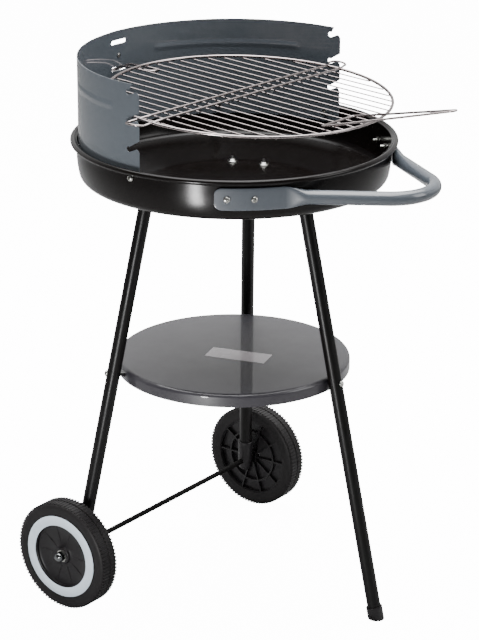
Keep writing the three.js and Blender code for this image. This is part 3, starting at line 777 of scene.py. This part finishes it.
    def build(self, model: Model, paints: Paints) -> None:
        """Makes all wires of the grate and puts them on its body."""
        values = {
            "Rim Radius": self.radius * MM,
            "Rim Wire": self.rim_wire * MM / 2,
            "Bar Wire": self.bar_wire * MM / 2,
            "Bar Pitch": self.bar_pitch * MM,
            "Bar Lift": (self.weld - (self.rim_wire + self.bar_wire) / 2) * MM,
            "Bar Count": self.bar_count,
        }
        mesh = grown(self.bars_tree(paints.chrome), values)
        ahead = self.spot(model, 1, 0, 0) - self.spot(model, 0, 0, 0)
        across = self.spot(model, 0, 1, 0) - self.spot(model, 0, 0, 0)
        up = self.spot(model, 0, 0, 1) - self.spot(model, 0, 0, 0)
        frame = (Matrix((across, -ahead, up)).transposed() * (1 / MM)).to_4x4()
        frame.translation = self.spot(model, 0, 0, 0)
        mesh.transform(frame)
        grid = bpy.data.objects.new("grate_grid", mesh)
        bpy.context.collection.objects.link(grid)
        soften(grid, 50)
        self.finish_piece(grid, "cooking_grate")
        self.wire(paints, "grate_hairpin", "grate_crossbar", self.hairpin(model), self.frame_wire, 7)
        self.wire(paints, "grate_grip", "grate_handle", self.grip(model), self.frame_wire, 7)
        self.wire(paints, "grate_hook", "grate_tongue", self.hook(model), self.hook_wire, 5)

    def finish_piece(self, piece: bpy.types.Object, node: str) -> None:
        """Puts a wire piece on the grate's body in place of its CAD node."""
        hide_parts(node)
        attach(piece, "grate")
        LOG.info("made %s", piece.name)

    def wire(self, paints: Paints, name: str, node: str, corners: list[Vector], wire: float, bend: float) -> None:
        """Bends one closed wire round its corners.

        Args:
            paints: all finishes.
            name: the piece's name.
            node: the CAD node that it stands for.
            corners: the corners of its path, in metres.
            wire: its diameter in mm.
            bend: length in mm along each side that a bend takes.
        """
        bm = bmesh.new()
        tube(bm, rounded(corners, bend * MM), wire / 2 * MM, 14, closed=True)
        self.finish_piece(new_object(name, bm, paints.chrome, 60), node)

    def hairpin(self, model: Model) -> list[Vector]:
        """Corners of the crossbar, a closed hairpin over the bars whose ends rest in the middle notches."""
        back, front = self.loop
        rest_height = self.notch_floor + self.frame_wire / 2 + self.gap
        half = (front - back) / 2

        def above(forward: float) -> float:
            """Height of the wire's middle where it crosses over the bars."""
            slope = math.tan(math.radians(self.tilt))
            return self.height - (forward - self.forward) * slope + self.frame_wire / 2 + 0.3

        def end(side: Side, tip: float, run: tuple[float, float]) -> list[Vector]:
            """Corners of one end, from the front run round the loop in the notch to the back run.

            Args:
                side: the end's side of the grate.
                tip: distance to the side of the loop's outermost point, in mm.
                run: forward places in mm of its back and front wire over the bars.

            Returns:
                The corners in metres, in order.
            """
            run_back, run_front = run
            sign, neck = side.value, self.loop_side + 4
            arc = [
                model.turned_spot(
                    back + half * (1 + math.cos(math.radians(a))),
                    sign * (neck + (tip - neck) * math.sin(math.radians(a))),
                    rest_height + 2 * math.sin(math.radians(a)),
                )
                for a in (0, 45, 90, 135, 180)
            ]
            return [
                model.turned_spot(run_front, sign * self.run_side, above(run_front)),
                model.turned_spot(front, sign * self.loop_side, rest_height),
                *arc,
                model.turned_spot(back, sign * self.loop_side, rest_height),
                model.turned_spot(run_back, sign * self.run_side, above(run_back)),
            ]

        left_end = end(Side.LEFT, self.left_tip, self.left_run)
        return [*left_end, *reversed(end(Side.RIGHT, self.right_tip, self.right_run))]

    def grip(self, model: Model) -> list[Vector]:
        """Corners of the lifting handle, a narrow triangle of wire."""
        lift = (self.rim_wire + self.frame_wire) / 2 - 0.3
        start, stop = self.grip_base[0], self.grip_base[0] + self.grip_length
        base, tip, side = self.grip_base[1], self.grip_tip, self.grip_side
        return [
            self.spot(model, start, side - base, lift),
            self.spot(model, stop, side - tip, lift + self.grip_rise),
            self.spot(model, stop, side + tip, lift + self.grip_rise),
            self.spot(model, start, side + base, lift),
        ]

    def hook(self, model: Model) -> list[Vector]:
        """Corners of the tongue that hangs in a slot at the windshield's back."""
        under = -(self.rim_wire + self.hook_wire) / 2 - 0.3
        root, half = -self.radius + 22, self.hook_half

        def sloped(back: float, side: Side) -> Vector:
            """A point of the part that slopes down through the slot."""
            rise = back * math.tan(math.radians(self.hook_slope))
            return model.turned_spot(self.sheet_back + back, side.value * half, self.slot_height + rise)

        return [
            self.spot(model, root, -half - self.side, under),
            sloped(14, Side.LEFT),
            sloped(-7, Side.LEFT),
            sloped(-7, Side.RIGHT),
            sloped(14, Side.RIGHT),
            self.spot(model, root, half - self.side, under),
        ]


# ---------------------------------------------------------------- tube handle
@dataclass
class TubeHandle:
    """The bent tube with flattened ends that lie on the bowl. Sizes in mm."""

    height: float = 662.5
    corner: float = 381.6
    angle: float = 33.1
    bend: float = 65.0
    tube: float = 20.0
    flat_height: float = 31.4
    flat_thickness: float = 3.4
    wall: float = 226.2
    crease: float = 36.0
    end: float = 60.0
    straight_from: float = 85.0  # distance to the side
    round_from: float = 112.0
    end_round: float = 2.6  # degrees of the strip's end that its rounding takes
    seat_gap: float = 0.6
    sides: int = 40

    @property
    def plate_radius(self) -> float:
        """Radius of the flat ends' middle about the bowl's axis."""
        return self.wall + self.seat_gap + self.flat_thickness / 2

    def section(self, centre: Vector, across: Vector, flatness: float) -> Section:
        """One ring of the tube.

        Args:
            centre: the ring's middle.
            across: horizontal direction square to the tube.
            flatness: 0 for the round tube, 1 for the pressed end.

        Returns:
            Its points.
        """
        up = Vector((0, 0, 1))
        ring = []
        half_up = self.tube / 2 + (self.flat_height - self.tube) / 2 * flatness
        half_across = self.tube / 2 + (self.flat_thickness - self.tube) / 2 * flatness
        power = 1.0 - 0.72 * flatness  # towards a flat strip with round edges
        for k in range(self.sides):
            a = 2 * math.pi * k / self.sides
            c, s = math.cos(a), math.sin(a)
            u = math.copysign(abs(c) ** power, c) * half_across
            v = math.copysign(abs(s) ** power, s) * half_up
            ring.append(centre + (across * u + up * v) * MM)
        return ring

    def path(self, model: Model, side: int) -> list[tuple[Vector, Vector, float]]:
        """Stations from the middle of the bow to one end: centre, direction across, flatness."""
        stations = []
        angle = math.radians(self.angle)
        centre_forward = self.corner - self.bend / math.sin(angle)
        for k in range(0, 13):
            a = (math.pi / 2 - angle) * k / 12
            out = Vector((side * math.sin(a), -math.cos(a), 0))
            forward = centre_forward + self.bend * math.cos(a)
            stations.append((model.spot(forward, side * self.bend * math.sin(a), self.height), out, 0.0))
        across = Vector((side * math.cos(angle), -math.sin(angle), 0))

        def arm(reach: float) -> Vector:
            """A point of the straight arm by its distance to the side."""
            return model.spot(self.corner - reach / math.tan(angle), side * reach, self.height)

        stations.append((arm(self.straight_from), across, 0.0))
        stations.append((arm(self.round_from), across, 0.0))
        start = arm(self.round_from)
        stop = model.polar(self.plate_radius, side * self.crease, self.height)
        stop_across = outward(side * self.crease)
        for k in range(1, 8):
            t = k / 8
            ease = t * t * (3 - 2 * t)
            stations.append((start.lerp(stop, t), across.lerp(stop_across, ease).normalized(), ease**0.9))
        bearings = self.end - self.crease - self.end_round
        for k in range(0, 13):
            b = self.crease + bearings * k / 12
            stations.append((model.polar(self.plate_radius, side * b, self.height), outward(side * b), 1.0))
        return stations

    def build(self, model: Model, paints: Paints) -> None:
        """Lofts the handle and rounds the strip's ends."""
        right, left = self.path(model, 1), self.path(model, -1)
        stations = [*list(reversed(left))[:-1], *right]
        sections = [self.section(centre, across, flat) for centre, across, flat in stations]
        end_steps = 6

        def rounding(side: int) -> list[Section]:
            """Draws one flat end in to its round tip.

            Args:
                side: 1 for the right end and -1 for the left one.

            Returns:
                The rings, from the strip outwards.
            """
            rings = []
            for k in range(1, end_steps + 1):
                a = math.pi / 2 * k / end_steps
                bearing = side * (self.end - self.end_round * (1 - math.sin(a)))
                ring = self.section(model.polar(self.plate_radius, bearing, self.height), outward(bearing), 1.0)
                squeeze = max(0.45, math.cos(a) * 0.55 + 0.45)
                middle = self.height * MM
                rings.append([Vector((p.x, p.y, middle + (p.z - middle) * squeeze)) for p in ring])
            return rings

        sections = [*reversed(rounding(-1)), *sections, *rounding(1)]
        bm = bmesh.new()
        loft(bm, sections)
        piece = new_object("handle_tube", bm, paints.grey, 40)
        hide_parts("handle")
        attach(piece, "stand")
        LOG.info("made %s", piece.name)


# ---------------------------------------------------------------- fasteners
@dataclass
class Fasteners:
    """Pan head screws with a cross recess, in place of the plain CAD ones. Sizes in mm."""

    head_radius: float = 4.8
    head_height: float = 3.2
    shank: float = 2.5
    recess: float = 2.6
    recess_depth: float = 1.5

    def head(self, bm: bmesh.types.BMesh, seat: Vector, axis: Vector, length: float, spin: float) -> None:
        """Adds one screw: a domed head on a plain shank, and a dark cross sunk into the dome.

        Args:
            bm: the mesh to add to.
            seat: middle of the head's underside.
            axis: direction the head faces.
            length: the shank's length.
            spin: turn of the cross about the axis, in degrees.
        """
        frame = (axis.to_track_quat("Z", "Y").to_matrix() @ Matrix.Rotation(math.radians(spin), 3, "Z")).to_4x4()
        frame.translation = seat
        half_width, sides, steps = 0.55, 48, 8
        verts = []
        for r in (self.head_radius * (1 - i / steps) for i in range(steps)):
            ring = []
            for k in range(sides):
                a = 2 * math.pi * k / sides
                x, y = r * math.cos(a), r * math.sin(a)
                dome = self.head_height * math.sqrt(max(0.0, 1 - (r / (self.head_radius * 1.02)) ** 2.6))
                sunk = min(abs(x), abs(y)) < half_width and max(abs(x), abs(y)) < self.recess
                z = dome - (self.recess_depth if sunk else 0.0)
                ring.append(bm.verts.new(frame @ (Vector((x, y, z)) * MM)))
            verts.append(ring)
        top = bm.verts.new(frame @ (Vector((0, 0, self.head_height - 1.6)) * MM))
        for a, b in zip(verts, verts[1:]):
            for k in range(sides):
                j = (k + 1) % sides
                bm.faces.new((a[k], a[j], b[j], b[k]))
        last = verts[-1]
        for k in range(sides):
            bm.faces.new((last[k], last[(k + 1) % sides], top))
        # under the head: a flat step to the shank, and the shank to its end
        lower = []
        angles = [2 * math.pi * k / sides for k in range(sides)]
        for r, z in ((self.head_radius, 0.0), (self.shank, 0.0), (self.shank, -length)):
            circle = [Vector((r * math.cos(a), r * math.sin(a), z)) * MM for a in angles]
            lower.append([bm.verts.new(frame @ point) for point in circle])
        for a, b in ((verts[0], lower[0]), (lower[0], lower[1]), (lower[1], lower[2])):
            for k in range(sides):
                j = (k + 1) % sides
                bm.faces.new((a[k], b[k], b[j], a[j]))
        bm.faces.new(lower[2])

    def build(self, model: Model, paints: Paints) -> None:
        """Makes the handle's and the windshield's screws."""
        for i in range(4):
            self.one(model, paints, f"handle_screw_{i + 1}", 16.0, 20.0 + 37 * i)
        for i in range(5):
            self.one(model, paints, f"windshield_screw_{i + 1}", 14.0, 11.0 + 53 * i)

    def one(self, model: Model, paints: Paints, node: str, length: float, spin: float) -> None:
        """Replaces one CAD screw by a detailed one in the same place."""
        low, high = (Vector(c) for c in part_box(node))
        middle = (low + high) / 2
        across = Vector((middle.x - model.axis.x, middle.y - model.axis.y, 0))
        axis = across.normalized()
        total = (length + self.head_height) * MM
        reach = across.length + total / 2 - self.head_height * MM
        seat = Vector((model.axis.x, model.axis.y, middle.z)) + axis * reach
        bm = bmesh.new()
        self.head(bm, seat, axis, length, spin)
        piece = new_object(f"{node}_cross", bm, paints.zinc, 28)
        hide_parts(node)
        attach(piece, "stand")
        LOG.info("made %s", piece.name)


# ---------------------------------------------------------------- wheels
@dataclass
class Wheel:
    """A moulded wheel: tyre with tread blocks, dished disc with radial lines and ribs behind. Sizes in mm."""

    side: Side
    radius: float = 82.0
    width: float = 33.0
    inner_face: float = 218.5
    axle_height: float = 82.0
    axle_back: float = 128.0
    tread_ribs: int = 92
    rear_ribs: int = 10
    disc_lines: int = 10
    # each rib's size outwards, round and along the axis
    tread_rib: tuple[float, float, float] = (2.0, 3.0, 13.2)
    rear_rib: tuple[float, float, float] = (48.6, 2.4, 5.4)
    disc_line: tuple[float, float, float] = (32.0, 0.5, 0.6)

    def frame(self, model: Model) -> Matrix:
        """Local frame: Z runs from the wheel's outer face inwards, its origin is the outer face's middle."""
        sign = self.side.value
        outer = self.inner_face + self.width
        z_axis = Vector((-sign, 0, 0))
        x_axis = Vector((0, 1, 0))
        y_axis = z_axis.cross(x_axis)
        frame = Matrix((x_axis, y_axis, z_axis)).transposed().to_4x4()
        frame.translation = model.spot(-self.axle_back, sign * outer, self.axle_height)
        return frame

    def ribs_tree(self, name: str, material: bpy.types.Material) -> bpy.types.NodeTree:
        """Builds the Geometry Nodes tree that sets boxes round an axis.

        Args:
            name: the tree's name.
            material: what the ribs are made of.

        Returns:
            A tree with inputs for the ribs' count, their middle's radius, place and size.
        """
        tree = bpy.data.node_groups.new(name, "GeometryNodeTree")
        face = tree.interface
        face.new_socket("Geometry", in_out="OUTPUT", socket_type="NodeSocketGeometry")
        face.new_socket("Count", in_out="INPUT", socket_type="NodeSocketInt")
        face.new_socket("Radius", in_out="INPUT", socket_type="NodeSocketFloat")
        face.new_socket("Offset", in_out="INPUT", socket_type="NodeSocketFloat")
        face.new_socket("Size", in_out="INPUT", socket_type="NodeSocketVector")
        given = add_node(tree, "NodeGroupInput").outputs
        circle = add_node(
            tree,
            "GeometryNodeMeshCircle",
            {"fill_type": "NONE"},
            {"Vertices": given["Count"], "Radius": given["Radius"]},
        )
        lift = add_node(tree, "ShaderNodeCombineXYZ", inputs={"Z": given["Offset"]})
        placed = add_node(
            tree, "GeometryNodeTransform", inputs={"Geometry": circle.outputs[0], "Translation": lift.outputs[0]}
        )
        rib = add_node(tree, "GeometryNodeMeshCube", inputs={"Size": given["Size"]})
        place = add_node(tree, "GeometryNodeInputPosition")
        parts = add_node(tree, "ShaderNodeSeparateXYZ", inputs={0: place.outputs[0]})
        angle = add_node(
            tree, "ShaderNodeMath", {"operation": "ARCTAN2"}, {0: parts.outputs["Y"], 1: parts.outputs["X"]}
        )
        turn = add_node(tree, "ShaderNodeCombineXYZ", inputs={"Z": angle.outputs[0]})
        rotation = add_node(tree, "FunctionNodeEulerToRotation", inputs={0: turn.outputs[0]})
        ribs = add_node(
            tree,
            "GeometryNodeInstanceOnPoints",
            inputs={"Points": placed.outputs[0], "Instance": rib.outputs["Mesh"], "Rotation": rotation.outputs[0]},
        )
        real = add_node(tree, "GeometryNodeRealizeInstances", inputs={0: ribs.outputs[0]})
        painted = add_node(
            tree, "GeometryNodeSetMaterial", inputs={"Geometry": real.outputs[0], "Material": material}
        )
        add_node(tree, "NodeGroupOutput", inputs={0: painted.outputs[0]})
        return tree

    def ribs(
        self,
        model: Model,
        name: str,
        material: bpy.types.Material,
        count: int,
        radius: float,
        offset: float,
        size: tuple[float, float, float],
    ) -> bpy.types.Object:
        """Makes a ring of ribs and returns it as a plain mesh in place.

        Args:
            model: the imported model.
            name: the piece's name.
            material: what it is made of.
            count: number of ribs.
            radius: radius of their middles.
            offset: place along the wheel's axis.
            size: each rib's size outwards, round and along the axis.

        Returns:
            The new piece.
        """
        values = {"Count": count, "Radius": radius * MM, "Offset": offset * MM, "Size": tuple(s * MM for s in size)}
        mesh = grown(self.ribs_tree(f"{name}_ring", material), values)
        mesh.transform(self.frame(model))
        piece = bpy.data.objects.new(name, mesh)
        bpy.context.collection.objects.link(piece)
        bm = bmesh.new()
        bm.from_mesh(mesh)
        bmesh.ops.recalc_face_normals(bm, faces=bm.faces)
        bm.to_mesh(mesh)
        bm.free()
        return piece

    def mount(self, piece: bpy.types.Object, slot: str, *nodes: str) -> None:
        """Puts a piece on this wheel's body."""
        if nodes:
            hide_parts(*nodes)
        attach(piece, f"wheel_{self.side.name.lower()}")
        LOG.info("made %s", piece.name)

    def build(self, model: Model, paints: Paints) -> None:
        """Makes the tyre, its tread, the disc, its lines, the ribs behind it, the white ring and the dome nut."""
        name = self.side.name.lower()
        frame = self.frame(model)
        tread = self.radius - 1.0
        tyre = [
            (61.8, 1.6), (63.4, 0.9), (66.0, 0.5), (74.0, 0.0), (77.5, 0.4), (79.6, 1.8), (tread - 0.4, 4.0),
            (tread, 5.5), (tread, 15.2), (tread - 1.2, 15.8), (tread - 1.2, 17.2), (tread, 17.8), (tread, 27.5),
            (tread - 0.4, 29.0), (79.6, 31.2), (77.5, 32.6), (74.0, 33.0), (66.0, 32.5), (61.8, 31.8), (61.8, 1.6),
        ]  # fmt: skip
        bm = bmesh.new()
        turned(bm, tyre, frame @ Matrix.Scale(MM, 4), 96)
        self.mount(new_object(f"tyre_shell_{name}", bm, paints.tyre, 40), "tyre_tread", f"tyre_{name}")
        for part, offset in (("front", 8.6), ("rear", 24.4)):
            ribs = self.ribs(
                model, f"tread_{part}_{name}", paints.tyre, self.tread_ribs, tread - 0.3, offset, self.tread_rib
            )
            self.mount(ribs, "tyre_tread")
        disc = [
            (4.4, 4.0), (10.0, 3.4), (12.0, 4.4), (12.6, 7.0), (14.0, 8.2), (30.0, 8.9), (46.0, 8.2), (47.5, 7.0),
            (48.2, 3.2), (50.0, 1.9), (61.2, 1.9), (61.2, 30.5), (60.4, 30.5), (60.0, 25.0), (13.0, 25.0), (12.0, 25.6),
            (11.5, 32.6), (4.4, 33.0), (4.4, 4.0),
        ]  # fmt: skip
        bm = bmesh.new()
        turned(bm, disc, frame @ Matrix.Scale(MM, 4), 96)
        self.mount(new_object(f"disc_{name}", bm, paints.black_pp, 40), "black_plastic", f"wheel_disc_{name}")
        lines = self.ribs(
            model, f"disc_lines_{name}", paints.black_pp, self.disc_lines, 30.5, 8.4, self.disc_line
        )
        self.mount(lines, "black_plastic")
        rear = self.ribs(model, f"disc_ribs_{name}", paints.black_pp, self.rear_ribs, 36.0, 27.6, self.rear_rib)
        self.mount(rear, "black_plastic")
        hoop = [(40.6, 24.8), (43.2, 24.8), (43.2, 30.2), (40.6, 30.2), (40.6, 24.8)]
        bm = bmesh.new()
        turned(bm, hoop, frame @ Matrix.Scale(MM, 4), 96)
        self.mount(new_object(f"disc_hoop_{name}", bm, paints.black_pp, 40), "black_plastic")
        ring = [(48.4, -0.2), (49.4, -0.9), (55.5, -0.95), (61.6, -0.9), (62.9, -0.2), (62.9, 0.2), (48.4, 0.2)]
        ring.append(ring[0])
        bm = bmesh.new()
        turned(bm, ring, frame @ Matrix.Scale(MM, 4), 96)
        self.mount(new_object(f"white_ring_{name}", bm, paints.white, 40), "white_trim", f"trim_ring_{name}")
        dome = [
            (0.0, 10.5), (2.2, 10.35), (4.2, 9.7), (5.8, 8.4), (6.9, 6.6), (7.4, 4.4), (7.5, 2.2), (7.5, 0.0),
            (4.3, 0.0), (4.3, 8.2), (0.0, 8.3),
        ]  # fmt: skip
        nut_low, nut_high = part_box(f"axle_nut_{name}")
        sign = self.side.value
        start = nut_low[0] if sign > 0 else nut_high[0]
        z_axis, x_axis = Vector((sign, 0, 0)), Vector((0, 1, 0))
        place = Matrix((x_axis, z_axis.cross(x_axis), z_axis)).transposed().to_4x4()
        place.translation = Vector((start, frame.translation.y, frame.translation.z))
        bm = bmesh.new()
        turned(bm, dome, place @ Matrix.Scale(MM, 4), 40)
        nut = new_object(f"axle_dome_{name}", bm, paints.dark_chrome, 40)
        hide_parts(f"axle_nut_{name}")
        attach(nut, "stand")
        LOG.info("made %s", nut.name)


# ---------------------------------------------------------------- shelf label
@dataclass
class ShelfLabel:
    """A plain printed label on the shelf. Sizes in mm."""

    length: float = 92.5
    width: float = 38.0
    corner: float = 1.2
    forward: float = 13.5
    side: float = -6.0
    turn: float = -73.0

    def build(self, model: Model, paints: Paints) -> None:
        """Makes the label as a thin rounded plate that lies on the shelf."""
        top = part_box("shelf")[1][2]
        bm = bmesh.new()
        outline = []
        corner, steps = self.corner, 5
        for cx, cy, start in ((1, 1, 0), (-1, 1, 90), (-1, -1, 180), (1, -1, 270)):
            for k in range(steps + 1):
                a = math.radians(start + 90 * k / steps)
                x = cx * (self.length / 2 - corner) + corner * math.cos(a)
                y = cy * (self.width / 2 - corner) + corner * math.sin(a)
                outline.append(Vector((x, y, 0)))
        turn = Matrix.Rotation(math.radians(self.turn), 3, "Z")
        centre = model.spot(self.forward, self.side, 0)
        rings = []
        for height in (0.02, 0.14):
            rings.append([centre + turn @ p * MM + Vector((0, 0, top + height * MM)) for p in outline])
        loft(bm, rings)
        piece = new_object("shelf_label", bm, paints.label, 40)
        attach(piece, "stand")
        LOG.info("made %s", piece.name)


# ---------------------------------------------------------------- studio
BEHIND = Vector((0.80, 0.60, 0.0))  # level direction from the viewer past the grill
GLEAM = Vector((-0.944, -0.146, 0.0))  # direction from the bowl's wall to the strip light


@dataclass
class Studio:
    """Camera, pale floor and soft lights round the grill."""

    lens_mm: float = 136.6
    eye: Vector = field(default_factory=lambda: Vector((-2.69413, -2.01045, 1.62274)))
    right: Vector = field(default_factory=lambda: Vector((0.59727, -0.80203, 0.00442)))
    up: Vector = field(default_factory=lambda: Vector((0.27023, 0.20642, 0.94041)))

    def camera(self, model: Model) -> None:
        """Creates the camera at its viewing place."""
        data = bpy.data.cameras.new("camera")
        data.lens = self.lens_mm
        data.sensor_width = 36.0
        data.clip_start, data.clip_end = 0.05, 60.0
        camera = bpy.data.objects.new("camera", data)
        back = self.right.cross(self.up)
        pose = Matrix((self.right, self.up, back)).transposed().to_4x4()
        pose.translation = model.axis + self.eye
        camera.matrix_world = pose
        bpy.context.collection.objects.link(camera)
        bpy.context.scene.camera = camera

    def floor(self) -> None:
        """Creates the plain pale floor."""
        mesh = bpy.data.meshes.new("floor")
        half = 14.0
        mesh.from_pydata([(-half, -half, 0), (half, -half, 0), (half, half, 0), (-half, half, 0)], [], [(0, 1, 2, 3)])
        floor = bpy.data.objects.new("floor", mesh)
        bpy.context.collection.objects.link(floor)
        material = bpy.data.materials.new("studio_floor")
        material.use_nodes = True
        tree = material.node_tree
        tree.nodes.clear()
        # a brightly lit white sweep that throws little light back at the grill
        paper = add_node(tree, "ShaderNodeBsdfDiffuse", inputs={"Color": linear("#A0A0A0")})
        glow = add_node(tree, "ShaderNodeEmission", inputs={"Color": linear("#FFFFFF"), "Strength": 14.0})
        lit = add_node(tree, "ShaderNodeAddShader", inputs={0: paper.outputs[0], 1: glow.outputs[0]})
        seen = add_node(tree, "ShaderNodeLightPath").outputs["Is Camera Ray"]
        mixed = add_node(tree, "ShaderNodeMixShader", inputs={0: seen, 1: paper.outputs[0], 2: lit.outputs[0]})
        add_node(tree, "ShaderNodeOutputMaterial", inputs={"Surface": mixed.outputs[0]})
        mesh.materials.append(material)

    def lamp(
        self, name: str, place: Vector, aim: Vector, size: tuple[float, float], power: float, spread: float
    ) -> None:
        """Adds a rectangular soft light.

        Args:
            name: the light's name.
            place: where it stands.
            aim: the point it faces.
            size: its width and height in metres.
            power: its power in watts.
            spread: the angle it shines into, in degrees.
        """
        data = bpy.data.lights.new(name, "AREA")
        data.shape = "RECTANGLE"
        data.size, data.size_y = size
        data.energy = power
        data.spread = math.radians(spread)
        lamp = bpy.data.objects.new(name, data)
        lamp.matrix_world = Matrix.Translation(place) @ (aim - place).to_track_quat("-Z", "Y").to_matrix().to_4x4()
        bpy.context.collection.objects.link(lamp)

    def lights(self, model: Model) -> None:
        """Creates the world light and the lamps."""
        world = bpy.data.worlds.new("studio")
        world.use_nodes = True
        bpy.context.scene.world = world
        tree = world.node_tree
        # the backdrop behind the grill is bright, the room on the other side is dim
        direction = add_node(tree, "ShaderNodeTexCoord").outputs["Generated"]
        towards = add_node(
            tree, "ShaderNodeVectorMath", {"operation": "DOT_PRODUCT"}, {0: direction, 1: tuple(BEHIND)}
        )
        level = add_node(
            tree,
            "ShaderNodeMapRange",
            {"interpolation_type": "SMOOTHSTEP"},
            {"Value": towards.outputs["Value"], "From Min": -0.3, "From Max": 0.6, "To Min": 0.05, "To Max": 0.95},
        )
        background = tree.nodes["Background"]
        background.inputs["Color"].default_value = (1.0, 1.0, 1.0, 1.0)
        tree.links.new(level.outputs["Result"], background.inputs["Strength"])
        centre = model.axis + Vector((0, 0, 0.5))
        above = centre + BEHIND * 0.6
        self.lamp("overhead", above + Vector((0, 0, 2.4)), above, (3.4, 3.4), 150, 110)
        self.lamp("fill", centre + Vector((0.9, -2.9, 1.3)), centre, (1.4, 1.8), 17, 120)
        # a narrow strip, low in front, gives the bowl its upright gleam
        wall = model.axis + Vector((-0.208, -0.089, 0.0))
        strip = wall + GLEAM * 1.15 + Vector((0, 0, 0.2))
        self.lamp("strip", strip, wall + Vector((0, 0, 0.55)), (0.15, 0.36), 4.6, 100)

    def build(self, model: Model) -> None:
        """Sets up the whole studio."""
        self.camera(model)
        self.floor()
        self.lights(model)


# ---------------------------------------------------------------- main
def main() -> None:
    """Loads the frame and builds the grill's looks."""
    logging.basicConfig(level=logging.INFO, format="%(message)s")
    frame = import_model()
    model = Model(frame["nodes"])
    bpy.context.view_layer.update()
    paints = Paints()
    Studio().build(model)
    Bowl().build(model, paints)
    Shelf().build(model, paints)
    ends = ("front", "left", "right")
    pair = ("left", "right")
    # the windshield's paint is the grey paint with painted light: a lighter base colour
    model.dress([f"windshield_{end}" for end in pair], paints.shield, 30)
    for end in pair:
        model.round_off(f"windshield_{end}")
    model.dress([f"leg_{end}" for end in ends], paints.black, 40)
    model.dress([f"leg_socket_{end}" for end in ends], paints.black, 40)
    model.dress(["foot_cap", *(f"axle_bush_{end}" for end in pair)], paints.black_pp, 40)
    model.dress(["axle"], paints.dull_black, 40)
    small = [f"windshield_nut_{i}" for i in range(1, 6)] + [f"handle_nut_{i}" for i in range(1, 5)]
    small += ["seam_rivet_1", "seam_rivet_2"] + [f"shelf_screw_{end}" for end in ends]
    small += [f"leg_nut_{end}_{i}" for end in ends for i in (1, 2)] + [f"axle_washer_{end}" for end in pair]
    model.dress(small, paints.zinc, 35)
    Grate().build(model, paints)
    TubeHandle().build(model, paints)
    Fasteners().build(model, paints)
    for side in Side:
        Wheel(side).build(model, paints)
    ShelfLabel().build(model, paints)


if __name__ == "__main__":
    main()
